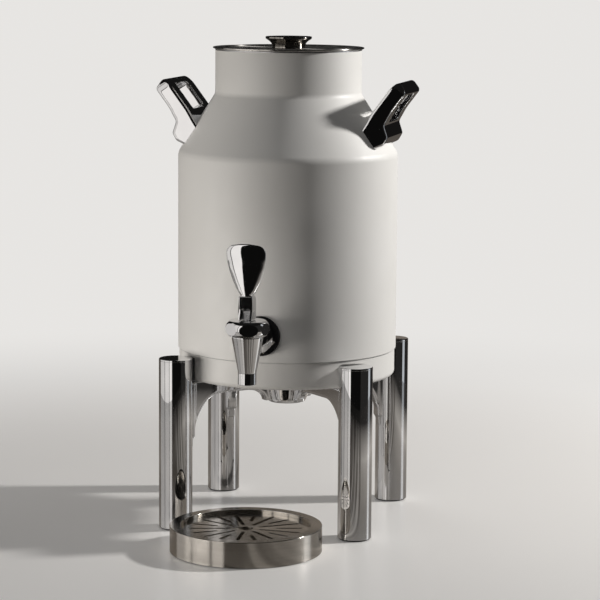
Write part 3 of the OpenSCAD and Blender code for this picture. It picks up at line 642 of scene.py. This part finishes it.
def inner_tank():
    w, mouth = TANK_WALL, TANK_NECK_R - TANK_WALL
    outline = [
        (0, TANK_FLOOR), (TANK_R, TANK_FLOOR, TANK_FOOT), *tank_line(0), (TANK_NECK_R, SHELL_TOP),
        (NECK_R, SHELL_TOP), (NECK_R, RIM_Z, 0.4), (mouth, RIM_Z, 0.8), *tank_line(w)[::-1],
        (TANK_R - w, TANK_FLOOR + w, TANK_FOOT - w), (0, TANK_FLOOR + w),
    ]
    piece("inner_tank", moved(lathe(outline), on_axis()))


# ---- lid ----


def lid():
    dish = LID_R - LID_RIM_W
    top = [
        (0, RIM_Z), (NECK_R, RIM_Z, 0.6), (LID_R, LID_TOP - LID_EDGE, 0.3), (LID_R, LID_TOP, 0.5),
        (dish, LID_TOP, 0.4), (dish - 1.2, DISH_Z, 0.4), (0, DISH_Z),
    ]
    piece("lid_top", moved(lathe(top), on_axis()))
    bead = SEAL_LOW - 0.1
    liner = [
        (0, PLUG_Z), (PLUG_R, PLUG_Z, 3), (PLUG_R, bead - 1), (PLUG_R + 1, bead - 1, 0.3),
        (PLUG_R + 1, bead, 0.3), (PLUG_R, bead), (PLUG_R, RIM_Z - 0.1), (PLUG_R - 1, RIM_Z - 0.1),
        (PLUG_R - 1, PLUG_Z + 1, 2), (0, PLUG_Z + 1),
    ]
    piece("lid_liner", moved(lathe(liner), on_axis()))
    tall, inner = SEAL_HIGH - SEAL_LOW, PLUG_R + 0.1
    seal = [
        (inner, SEAL_LOW), (SEAL_R - 1, SEAL_LOW, 0.3), (SEAL_R, SEAL_LOW + 0.2 * tall, 0.5),
        (SEAL_R - 1, SEAL_LOW + 0.5 * tall, 0.5), (SEAL_R, SEAL_LOW + 0.7 * tall, 0.5),
        (SEAL_R - 1, SEAL_HIGH, 0.3), (inner, SEAL_HIGH),
    ]
    piece("lid_seal", moved(lathe(seal), on_axis()))
    waist_z = DISH_Z + 0.45 * (KNOB_TOP - DISH_Z)
    knob = [
        (0, DISH_Z), (KNOB_WAIST, DISH_Z, 0.5), (KNOB_WAIST - 0.5, DISH_Z + 1.5, 1),
        (KNOB_WAIST, waist_z, 8), (KNOB_R, KNOB_TOP - 2.2, 1.2), (KNOB_R, KNOB_TOP, 0.8),
        (KNOB_R - 5, KNOB_TOP - 0.1, 2), (0, KNOB_TOP - 1),
    ]
    piece("lid_knob", moved(lathe(knob), on_axis()), KNOB_STEEL_PAINTED_DARK)


# ---- handles ----


def handle(side):
    """A loop handle: its side outline drawn across the shoulder, cut to the outline of its face
    with a window, cast, and laid back by its lean."""
    node = "handle_right" if side > 0 else "handle_left"
    bar, top, w, reach = BAR_BACK, HANDLE_LEN, HANDLE_W / 2, 40
    outline = rounded([
        (bar - 1, -24), (-1, -24), (1.2 + FOOT_OUT, -3.4, 5), (0.8 + FOOT_OUT, 5.5, 4),
        (1.8, 13.5, 4), (0.6, 0.5 * top, 40), (2.2, top - 6, 4.5), (bar + 4.4, top, 4.5),
        (bar + 0.8, top - 12, 20), (bar - 1.2, 18, 20), (bar - 0.5, 4, 6),
    ])
    body = moved(slab(outline, -w, w, HANDLE_EDGE, 6), quarter("X"))
    # outlines drawn in Y and Z and pushed along X
    along = Matrix(((0, 0, 1, 0), (1, 0, 0, 0), (0, 1, 0, 0), (0, 0, 0, 1)))
    face = [(-w, -reach), (w, -reach), (w, top, HANDLE_CORNER), (-w, top, HANDLE_CORNER)]
    body = combine(body, moved(slab(rounded(face), -reach, reach), along), "INTERSECT")
    window = box_outline(-WINDOW_W / 2, WINDOW_W / 2, WINDOW_LOW, WINDOW_HIGH, WINDOW_ROUND)
    body = without(body, moved(slab(window, -reach, reach), along))
    body = cast(body, voxel=0.6, rounds=20)
    lean = Matrix.Rotation(math.pi / 2 - HANDLE_LEAN, 4, "Y")
    moved(body, Matrix.Translation((HANDLE_X, 0, HANDLE_Z)) @ lean)
    wall = lathe([(0, BASE_Z), *wall_line(-0.1, BASE_Z, RIM_Z), (0, RIM_Z)], WALL_TURNS)
    body = without(body, wall)
    if side < 0:
        moved(body, Matrix.Scale(-1, 4, (1, 0, 0)))
    piece(node, moved(body, on_axis()))


# ---- tap ----


def tap_gasket():
    """A round gasket whose back follows the shell."""
    face, back = AXIS_Y - low("tap_gasket", Y), -9
    bm = bmesh.new()
    rings = []
    for r, depth in rounded(ring_line(GASKET_BORE, GASKET_R, back, 0, 0, 1.0)):
        ring = []
        for i in range(TURNS):
            a = 2 * math.pi * i / TURNS
            x, z = r * math.cos(a), r * math.sin(a)
            shell = math.sqrt((BODY_R + 0.1) ** 2 - x * x)
            away = face + depth if depth > back else shell
            ring.append(bm.verts.new((x, AXIS_Y - away, TAP_Z + z)))
        rings.append(ring)
    skin(bm, rings, closed=True)
    piece("tap_gasket", bm)


def tap_nut():
    """A hexagon nut with turned chamfers on both faces and a bore."""
    thick, r, rim = 2 * half("tap_nut", Y), NUT_AF / 2, NUT_AF / 2 + 2 * NUT_CHAMFER
    prism = slab(hexagon(r, NUT_TURN), 0, thick)
    chamfer = lathe([
        (0, 0), (r, 0), (rim, NUT_CHAMFER), (rim, thick - NUT_CHAMFER), (r, thick), (0, thick),
    ])
    bore = lathe(ring_line(0, NUT_BORE, -1, thick + 1), SMALL_TURNS)
    nut = without(combine(prism, chamfer, "INTERSECT"), bore)
    nut = soften(nut, width=0.35, angle=12, segments=3)
    piece("tap_nut", moved(nut, towards_tap(AXIS_Y - high("tap_nut", Y))))


def tap_body():
    """A tapered spout, and a barrel from the nut to it."""
    spout = lathe([
        (OUTLET_R, TIP_Z, 0.5), (TIP_R, TIP_Z, 0.7), (TIP_R, TIP_Z + TIP_H, 9),
        (CONE_R, BONNET_Z - 1, 0.6), (CONE_R, BONNET_Z, 0.3), (CHAMBER_R, BONNET_Z),
        (CHAMBER_R, SEAT_Z), (OUTLET_R, SEAT_Z),
    ], SPOUT_TURNS)
    moved(spout, at_spout())
    near = AXIS_Y - low("tap_nut", Y) + 0.1
    far = AXIS_Y - SPOUT_Y - CHAMBER_R - 1
    barrel = lathe(ring_line(WATER_R, BARREL_R, near, far, 0.6), SMALL_TURNS)
    bonnet_room = moved(lathe(ring_line(0, BONNET_R + 0.3, 0, 12)), at_spout(BONNET_Z))
    barrel = without(moved(barrel, towards_tap()), bonnet_room)
    piece("tap_body", combine(spout, barrel, "UNION"))


def bonnet_band(tall):
    """The bonnet's bulging side, an arc through both of its rims."""
    bulge, rise, steps = BONNET_R - BONNET_END_R, tall / 2, 24
    r = (rise ** 2 + bulge ** 2) / (2 * bulge)
    band = []
    for i in range(steps + 1):
        a = math.asin(rise / r) * (2 * i / steps - 1)
        edge = 0 if 0 < i < steps else 1
        band.append((BONNET_R - r + r * math.cos(a), rise + r * math.sin(a), edge))
    return band


def tap_bonnet():
    """A bulging ring with six flats, a skirt below, and a bore for the spring and the stem."""
    tall, spring_top = BONNET_TOP - BONNET_Z, 9
    ring = lathe([(0, 0), *bonnet_band(tall), (0, tall)])
    flats = slab(hexagon(BONNET_FLAT, BONNET_TURN), -1, tall + 1)
    form = soften(combine(ring, flats, "INTERSECT"), width=0.8, angle=14, segments=4)
    skirt = lathe(ring_line(0, CHAMBER_R - 0.05, -SKIRT, 1, 0.3), SMALL_TURNS)
    form = combine(form, skirt, "UNION")
    bore = lathe([
        (0, -SKIRT - 1), (SPRING_R, -SKIRT - 1), (SPRING_R, spring_top), (STEM_R, spring_top),
        (STEM_R, tall + 1), (0, tall + 1),
    ], SMALL_TURNS)
    piece("tap_bonnet", moved(without(form, bore), at_spout(BONNET_Z)))


# Paddle sections from its neck to its top: height as a share of PADDLE_TOP, half width as a share
# of PADDLE_W, front and back faces
PADDLE = (
    (0.12, 0.155, 7.8, -6), (0.25, 0.16, 7.8, -5), (0.285, 0.2, 7.7, -4.3),
    (0.32, 0.236, 7.6, -3.7), (0.38, 0.284, 7.4, -2.4), (0.47, 0.352, 7.4, -1.1),
    (0.6, 0.425, 7.9, 0.1), (0.7, 0.465, 8.4, 0.9), (0.79, 0.491, 9, 1.7), (0.85, 0.5, 9.2, 2.3),
    (0.9, 0.487, 9.2, 2.8), (0.95, 0.43, 9.1, 3.5), (0.982, 0.33, 8.6, 4.4), (1, 0.12, 7.8, 5.6),
)
PADDLE_STEPS, PADDLE_AROUND = 6, 72  # between two of its sections, and round one
ACROSS, THROUGH = 2.5, 2.3  # powers of the superellipse that each section is


def spline(rows, between):
    """Rows of numbers with Catmull-Rom steps between them."""
    smooth = []
    for i in range(len(rows) - 1):
        p0, p1, p2, p3 = (rows[max(0, min(len(rows) - 1, i + k))] for k in (-1, 0, 1, 2))
        for step in range(between):
            t = step / between
            smooth.append([
                0.5 * (2 * b + (c - a) * t + (2 * a - 5 * b + 4 * c - d) * t * t
                       + (3 * b - a - 3 * c + d) * t ** 3)
                for a, b, c, d in zip(p0, p1, p2, p3)
            ])
    return smooth + [list(rows[-1])]


def superellipse(angle, power):
    """Cosine for a superellipse; a quarter turn less gives its sine."""
    c = math.cos(angle)
    return math.copysign(abs(c) ** (2 / power), c)


def lever_foot(angle):
    """Point of the involute toe that lifts the stem evenly as the lever comes forward."""
    rate = LIFT / TRAVEL
    rise, run, a = FOOT_DROP + rate * angle, math.degrees(rate), math.radians(angle)
    return rise * math.sin(a) + run * math.cos(a), -rise * math.cos(a) + run * math.sin(a)


def tap_lever():
    """A spoon-like paddle on a slotted neck, with the toe and the pin's hole."""
    rings = []
    for share, width, front, back in spline(PADDLE, PADDLE_STEPS):
        mid, deep = -(front + back) / 2, (front - back) / 2
        ring = []
        for i in range(PADDLE_AROUND):
            a = -2 * math.pi * i / PADDLE_AROUND
            x = PADDLE_W * width * superellipse(a, ACROSS)
            y = mid + deep * superellipse(a - math.pi / 2, THROUGH)
            ring.append((x, y, PADDLE_TOP * share))
        rings.append(ring)
    paddle = loft(rings)
    d, tip = NECK_D / 2, lever_foot(TRAVEL)
    toe = [lever_foot(TRAVEL * i / 12) for i in range(13)]
    side = rounded(toe + [(tip[0] + 0.2, tip[1] + 2.5, 1.5), (d, 4, 6), (d, NECK_TOP, 0.8),
                          (-d, NECK_TOP, 7), (-d, -FOOT_DROP, 3)])
    neck = slab(side, -NECK_W / 2, NECK_W / 2, 0.9)
    # the side outline's x is forward, which is -Y, and its y is up
    moved(neck, Matrix(((0, 0, 1, 0), (-1, 0, 0, 0), (0, 1, 0, 0), (0, 0, 0, 1))))
    form = combine(neck, paddle, "UNION")
    w, reach = SLOT_W / 2, 20
    slot = [(-w, -reach), (w, -reach), (w, SLOT_TOP, SLOT_ROUND), (-w, SLOT_TOP, SLOT_ROUND)]
    form = without(form, moved(slab(rounded(slot), -reach, reach), quarter("X")))
    hole = lathe(ring_line(0, PIN_R + 0.05, -reach, reach), SMALL_TURNS)
    form = without(form, moved(hole, quarter("Y")))
    piece("tap_lever", moved(form, at_spout(PIN_Z)))


def lever_pin():
    pin = lathe(ring_line(0, PIN_R, -NECK_W / 2, NECK_W / 2, 0.3, 0.3), PIN_TURNS)
    piece("lever_pin", moved(moved(pin, quarter("Y")), at_spout(PIN_Z)))


# ---- stand ----


def post(corner):
    """A tube with a flat cap and a foot."""
    tube_top = low("cap_" + corner, Z) + CAP_SKIRT
    place = corner_turn(corner) @ Matrix.Translation((POST_CIRCLE, 0, 0))
    tube = ring_line(POST_R - POST_WALL, POST_R, POST_FOOT, tube_top, 0.4, 0.25)
    piece("post_" + corner, moved(lathe(tube, POST_TURNS), place))
    cap = ring_line(0, POST_R, tube_top, POST_TOP, 0.25, 0.8)
    piece("cap_" + corner, moved(lathe(cap, POST_TURNS), place))
    foot = ring_line(0, POST_R - FOOT_INSET, 0, POST_FOOT, 0.5)
    piece("foot_" + corner, moved(lathe(foot, SMALL_TURNS), place))


def guide_pad(corner):
    """A block between the base band and a post, hollowed to fit both."""
    w, steps = PAD_W / 2, 16

    def across(centre, radius, sign):
        ys = [-w + 2 * w * i / steps for i in range(steps + 1)]
        return [Vector((centre + sign * math.sqrt(max(radius ** 2 - y * y, 0)), y)) for y in ys]

    inner = across(0, PAD_IN, 1)
    outer = across(POST_CIRCLE, POST_R + 0.1, -1)
    # the pad's black, from its slot, is partly painted shade: the narrow dark block also stands for
    # the shaded gap between the band and the post
    bm = slab(inner + outer[::-1], PAD_LOW, PAD_HIGH, 0.7, 3)
    piece("pad_" + corner, moved(bm, corner_turn(corner)))


def arm_outline():
    """Side of one arm, x from the hub's axis and y the height, with knees at post and hub."""
    low_z, end, knee_steps, hub_steps = ARM_Z - ARM_T, POST_IN + 4, 32, 16
    points = [(0, ARM_Z), (end, ARM_Z), (end, low_z - KNEE_DROP)]
    for i in range(knee_steps + 1):
        a = math.pi / 2 * i / knee_steps
        x = KNEE_END - KNEE_RUN * (1 - math.cos(a))
        points.append((x, low_z - KNEE_DROP * (1 - math.sin(a))))
    for i in range(hub_steps + 1):
        a = math.pi / 2 * i / hub_steps
        points.append((HUB_R + HUB_RUN * (1 - math.sin(a)), low_z - HUB_DROP * (1 - math.cos(a))))
    points.append((0, low_z - HUB_DROP))
    return [Vector(p) for p in points]


def cross_frame():
    """Four arched arms with saddles that hug the posts, cast in one with their hub."""
    quarters = [about_z(math.pi / 2 * i) for i in range(4)]
    parts = [lathe([
        (0, HUB_Z), (HUB_END_R, HUB_Z, 2.5), (HUB_END_R + 2, HUB_Z + 4, 3), (HUB_R, ARM_Z - 3, 1),
        (0, ARM_Z - 3),
    ], POST_TURNS)]
    near, far, w = POST_IN - SADDLE_T, POST_IN + 4, SADDLE_W / 2
    saddle = rounded([(near, -w, 2), (far, -w), (far, w), (near, w, 2)])
    for turn in quarters:
        parts.append(moved(slab(arm_outline(), -ARM_W / 2, ARM_W / 2), turn @ quarter("X")))
        parts.append(moved(slab(saddle, SADDLE_LOW, ARM_Z - 1), turn))
    whole = cast(joined(*parts), voxel=0.8, rounds=12)
    for turn in quarters:
        post_room = lathe(ring_line(0, POST_R + 0.1, 0, ARM_Z + 9), POST_TURNS)
        place = turn @ Matrix.Translation((POST_CIRCLE, 0, 0))
        whole = without(whole, moved(post_room, place))
    whole = without(whole, lathe(ring_line(0, POCKET_R, HUB_Z - 1, HUB_Z + POCKET_H)))
    piece("cross_frame", moved(moved(whole, about_z(math.pi / 4)), on_axis()))
    cap = lathe(ring_line(0, POCKET_R - 0.1, HUB_Z, HUB_Z + 2, 0.4))
    piece("hub_cap", moved(cap, on_axis()))


# ---- drip tray ----


def tray():
    """A round pan with a wide rim, a ledge for the grille and three rubber feet."""
    w, floor, ledge, inner = TRAY_WALL, TRAY_FLOOR, GRILLE_LOW, WELL_R - LEDGE_W
    pan = lathe([
        (TRAY_R, TRAY_LOW, 0.3), (TRAY_R, TRAY_TOP, 0.7), (WELL_R, TRAY_TOP, 0.7),
        (WELL_R, ledge), (inner, ledge, 0.5), (inner, floor + w, 2), (0, floor + w), (0, floor),
        (inner + w, floor, 3), (inner + w, ledge - w), (WELL_R + w, ledge - w),
        (WELL_R + w, TRAY_TOP - w), (TRAY_R - w, TRAY_TOP - w), (TRAY_R - w, TRAY_LOW, 0.3),
    ])
    piece("tray_pan", moved(pan, at_tray()), TRAY_STEEL)
    feet = []
    for k in range(3):
        foot = lathe(ring_line(0, RUBBER_R, 0, floor, 0.5), FOOT_TURNS)
        turn = about_z(math.radians(30 + 120 * k))
        feet.append(moved(foot, turn @ Matrix.Translation((RUBBER_CIRCLE, 0, 0))))
    piece("tray_feet", moved(joined(*feet), at_tray()))


def tray_grille():
    """A disc with a hole in its middle and long and short slots in turn round it."""
    disc = lathe(ring_line(0, GRILLE_R, GRILLE_LOW, GRILLE_HIGH))
    under, over, r = GRILLE_LOW - 1, GRILLE_HIGH + 1, GRILLE_SLOT / 2
    cutters = [lathe(ring_line(0, GRILLE_HOLE, under, over), SMALL_TURNS)]
    for k in range(SLOT_COUNT):
        start = SLOT_LONG if k % 2 else SLOT_SHORT
        slot = slab(box_outline(start - r, SLOT_END, -r, r, r * 0.999), under, over)
        turn = about_z(math.radians(SLOT_TURN + 360 * k / SLOT_COUNT))
        cutters.append(moved(slot, turn))
    grille = soften(without(disc, joined(*cutters)), width=0.3, angle=45, segments=3)
    piece("tray_grille", moved(grille, at_tray()), TRAY_STEEL)


# ---- stage and light ----


BACKDROP = (0.8, 0.785, 0.765)
WALL_IN_METAL = (0.2, 0.175, 0.15)
FLOOR_TONES = (0.815, 0.797, 0.775), (0.835, 0.817, 0.795)
FLOOR_BOUNCE = (0.15, 0.145, 0.14)  # what diffuse rays see
# painted shade on the table that only the metal sees: streaks of shade, then a dark zone further
# out
PAINTED_SHADE_TONES = (0.22, 0.195, 0.17), (0.82, 0.775, 0.72)
STREAKS, PAINTED_DARK_ZONE = 7, (0.03, 0.028, 0.026)


def make_floor():
    """A plain pale table that melts into the backdrop. The metal sees painted streaks of shade and
    then a painted dark zone on it, under a clear coat that only the metal sees, and the white
    coating gets less light back from it than the camera."""
    s = Shader("floor").set(Roughness=0.3, Coat_IOR=5.0, Coat_Roughness=0.06,
                            Emission_Color=(*BACKDROP, 1))
    s.material.cycles.emission_sampling = "NONE"
    where = s.place()
    away = s.length(where)
    ray = s.node("ShaderNodeLightPath").outputs
    cloud = s.ramp(s.noise(where, 1.5, 3), 0.3, 0.7, 0, 1)
    plain = s.mix(cloud, *FLOOR_TONES)
    # the painted streaks of shade run outwards, so that they stand upright in tubes and cones, and
    # the ramp keeps them to the first radian from the tap's side towards +X
    split = s.split(where)
    angle = s.maths("ARCTAN2", split["X"], s.ramp(split["Y"], -1, 1, 1, -1))
    fan = s.vector(s.ramp(angle, 0, 1, 0, STREAKS), s.ramp(away, 0, 1, 0, 1))
    streaks = s.mix(s.ramp(s.noise(fan, 1, 2), 0.43, 0.57, 0, 1), *PAINTED_SHADE_TONES)
    # painted shade: the streaks give way to the painted dark zone further out
    shade = s.mix(s.ramp(away, 0.5, 0.72, 0, 1), streaks, PAINTED_DARK_ZONE)
    shaded = s.maths("MULTIPLY", s.ramp(away, 0.1, 0.3, 0.6, 1), ray["Is Glossy Ray"])
    seen = s.mix(ray["Is Diffuse Ray"], s.mix(shaded, plain, shade), FLOOR_BOUNCE)
    far = s.maths("MULTIPLY", s.ramp(away, 0.35, 1.35, 0.12, 1, "SMOOTHSTEP"), ray["Is Camera Ray"])
    shine = s.ramp(away, 0.2, 0.9, 0.3, 0, "SMOOTHSTEP")
    for source, target in (
        (ray["Is Glossy Ray"], "Coat Weight"), (far, "Emission Strength"),
        (shine, "Specular IOR Level"),
    ):
        s.link(source, s.surface.inputs[target])
    material = s.wear(s.mix(far, seen, (0, 0, 0)))
    bpy.ops.mesh.primitive_circle_add(vertices=128, radius=40, fill_type="NGON", location=(0, 0, 0))
    floor = bpy.context.object
    floor.name = "floor"
    floor.data.materials.append(material)


# Cards round the table that only the metal sees, as a studio sets them for chrome: degrees from
# the tap's side towards +X, height of the lower edge, brightness, and blue as a share of red
CARD_FOOT, WARM, COOL = -0.01, 0.93, 1.1
CARDS = (
    (-98, -62, CARD_FOOT, 0.62, WARM),
    (-62, -58, CARD_FOOT, 0.16, WARM),
    (-58, -31, CARD_FOOT, 0.72, WARM),
    (-31, -28.5, CARD_FOOT, 0.05, WARM),
    (-28.5, -14, CARD_FOOT, 0.95, WARM),
    (-14, 45, CARD_FOOT, 0.004, WARM),
    (45, 98, CARD_FOOT, 0.02, WARM),
    (98, 116, CARD_FOOT, 0.5, COOL),
    (116, 158, CARD_FOOT, 0.02, WARM),
    (158, 262, 0.3, 0.008, WARM),
)
CARD_AWAY, CARD_TOP, CARD_STEP = 0.85, 1.05, 4
ROOF_CORNERS = 36


def card_point(degrees, height):
    a = math.radians(degrees)
    return CARD_AWAY * math.sin(a), AXIS_Y * MM - CARD_AWAY * math.cos(a), height


def make_cards():
    """The cards, and a roof over their ring as part of the last, dark one."""
    for number, (start, end, bottom, level, blue) in enumerate(CARDS):
        name, glow = f"card_{number}", (level, level * (1 + blue) / 2, level * blue, 1)
        s = Shader(name).set(Base_Color=(0, 0, 0, 1), Roughness=1.0, Specular_IOR_Level=0.0,
                             Emission_Color=glow, Emission_Strength=1.0)
        s.material.cycles.emission_sampling = "NONE"
        steps = max(2, round((end - start) / CARD_STEP))
        verts = []
        for i in range(steps + 1):
            degrees = start + (end - start) * i / steps
            verts += [card_point(degrees, bottom), card_point(degrees, CARD_TOP)]
        faces = [(2 * i, 2 * i + 2, 2 * i + 3, 2 * i + 1) for i in range(steps)]
        if number == len(CARDS) - 1:
            faces.append(range(len(verts), len(verts) + ROOF_CORNERS))
            verts += [card_point(360 / ROOF_CORNERS * i, CARD_TOP) for i in range(ROOF_CORNERS)]
        mesh = bpy.data.meshes.new(name)
        mesh.from_pydata(verts, [], faces)
        mesh.materials.append(s.material)
        card = bpy.data.objects.new(name, mesh)
        bpy.context.scene.collection.objects.link(card)
        card.visible_camera = card.visible_diffuse = card.visible_shadow = False
        card.visible_transmission = card.visible_volume_scatter = False


def area_light(name, azimuth, height, away, size, power, colour=(1, 1, 1), aim=0.26):
    """A rectangular lamp that looks at the urn's axis at the height aim. Azimuth 0 is the tap's
    side and 90 is +X."""
    data = bpy.data.lights.new(name, "AREA")
    data.shape, data.size, data.size_y = "RECTANGLE", *size
    data.energy, data.color = power, colour
    lamp = bpy.data.objects.new(name, data)
    bpy.context.scene.collection.objects.link(lamp)
    a = math.radians(azimuth)
    lamp.location = (away * math.sin(a), -away * math.cos(a), height)
    towards = Vector((0, AXIS_Y * MM, aim)) - lamp.location
    lamp.rotation_euler = towards.to_track_quat("-Z", "Y").to_euler()
    return lamp


def make_lamps():
    area_light("key", 113, 1.1, 1.7, size=(0.14, 0.14), power=37.5, colour=(1.0, 0.985, 0.965))
    panel = area_light("left_panel", -58, 0.06, 0.9, size=(0.7, 0.3), power=7.2,
                       colour=(1.0, 0.965, 0.92), aim=0.3)
    # the panel stands on the table beside the urn, and a flag keeps its light off the table
    flagged = bpy.data.collections.new("flagged")
    flagged.objects.link(bpy.data.objects["floor"])
    flagged.collection_objects[0].light_linking.link_state = "EXCLUDE"
    panel.light_linking.receiver_collection = flagged
    area_light("top", 0, 2.3, 0.2, size=(1.6, 1.6), power=5.5)
    area_light("back", 200, 1.3, 1.9, size=(1.4, 1.2), power=7)


def make_world():
    """A faint pale light for diffuse rays, the backdrop for the camera and what is seen through
    something, and a darker wall for the metal."""
    world = bpy.data.worlds.new("studio")
    bpy.context.scene.world = world
    world.use_nodes = True
    nodes, link = world.node_tree.nodes, world.node_tree.links.new
    light = nodes["Background"]
    light.inputs["Color"].default_value = (0.95, 0.97, 1.0, 1)
    light.inputs["Strength"].default_value = 0.035
    backdrop = nodes.new("ShaderNodeBackground")
    ray = nodes.new("ShaderNodeLightPath").outputs
    wall = nodes.new("ShaderNodeMix")
    wall.data_type = "RGBA"
    wall.inputs[6].default_value = (*BACKDROP, 1)
    wall.inputs[7].default_value = (*WALL_IN_METAL, 1)
    link(ray["Is Glossy Ray"], wall.inputs[0])
    link(wall.outputs[2], backdrop.inputs["Color"])
    total = ray["Is Camera Ray"]
    for kind in ("Is Glossy Ray", "Is Transmission Ray"):
        add = nodes.new("ShaderNodeMath")
        add.operation, add.use_clamp = "ADD", True
        link(total, add.inputs[0])
        link(ray[kind], add.inputs[1])
        total = add.outputs[0]
    choose = nodes.new("ShaderNodeMixShader")
    link(total, choose.inputs["Fac"])
    link(light.outputs[0], choose.inputs[1])
    link(backdrop.outputs[0], choose.inputs[2])
    link(choose.outputs[0], nodes["World Output"].inputs["Surface"])


# ---- the scene ----

make_camera()
for node, cad in frame["nodes"].items():
    cad.data.materials.clear()
    cad.data.materials.append(MATERIALS[SLOT_OF[node]])
outer_shell()
base_pan()
seam_gasket()
inner_tank()
lid()
handle(-1)
handle(1)
tap_gasket()
tap_nut()
tap_body()
tap_bonnet()
tap_lever()
lever_pin()
for corner in CORNERS:
    post(corner)
    guide_pad(corner)
cross_frame()
tray()
tray_grille()
make_floor()
make_cards()
make_lamps()
make_world()
bpy.context.scene.view_settings.view_transform = "Standard"
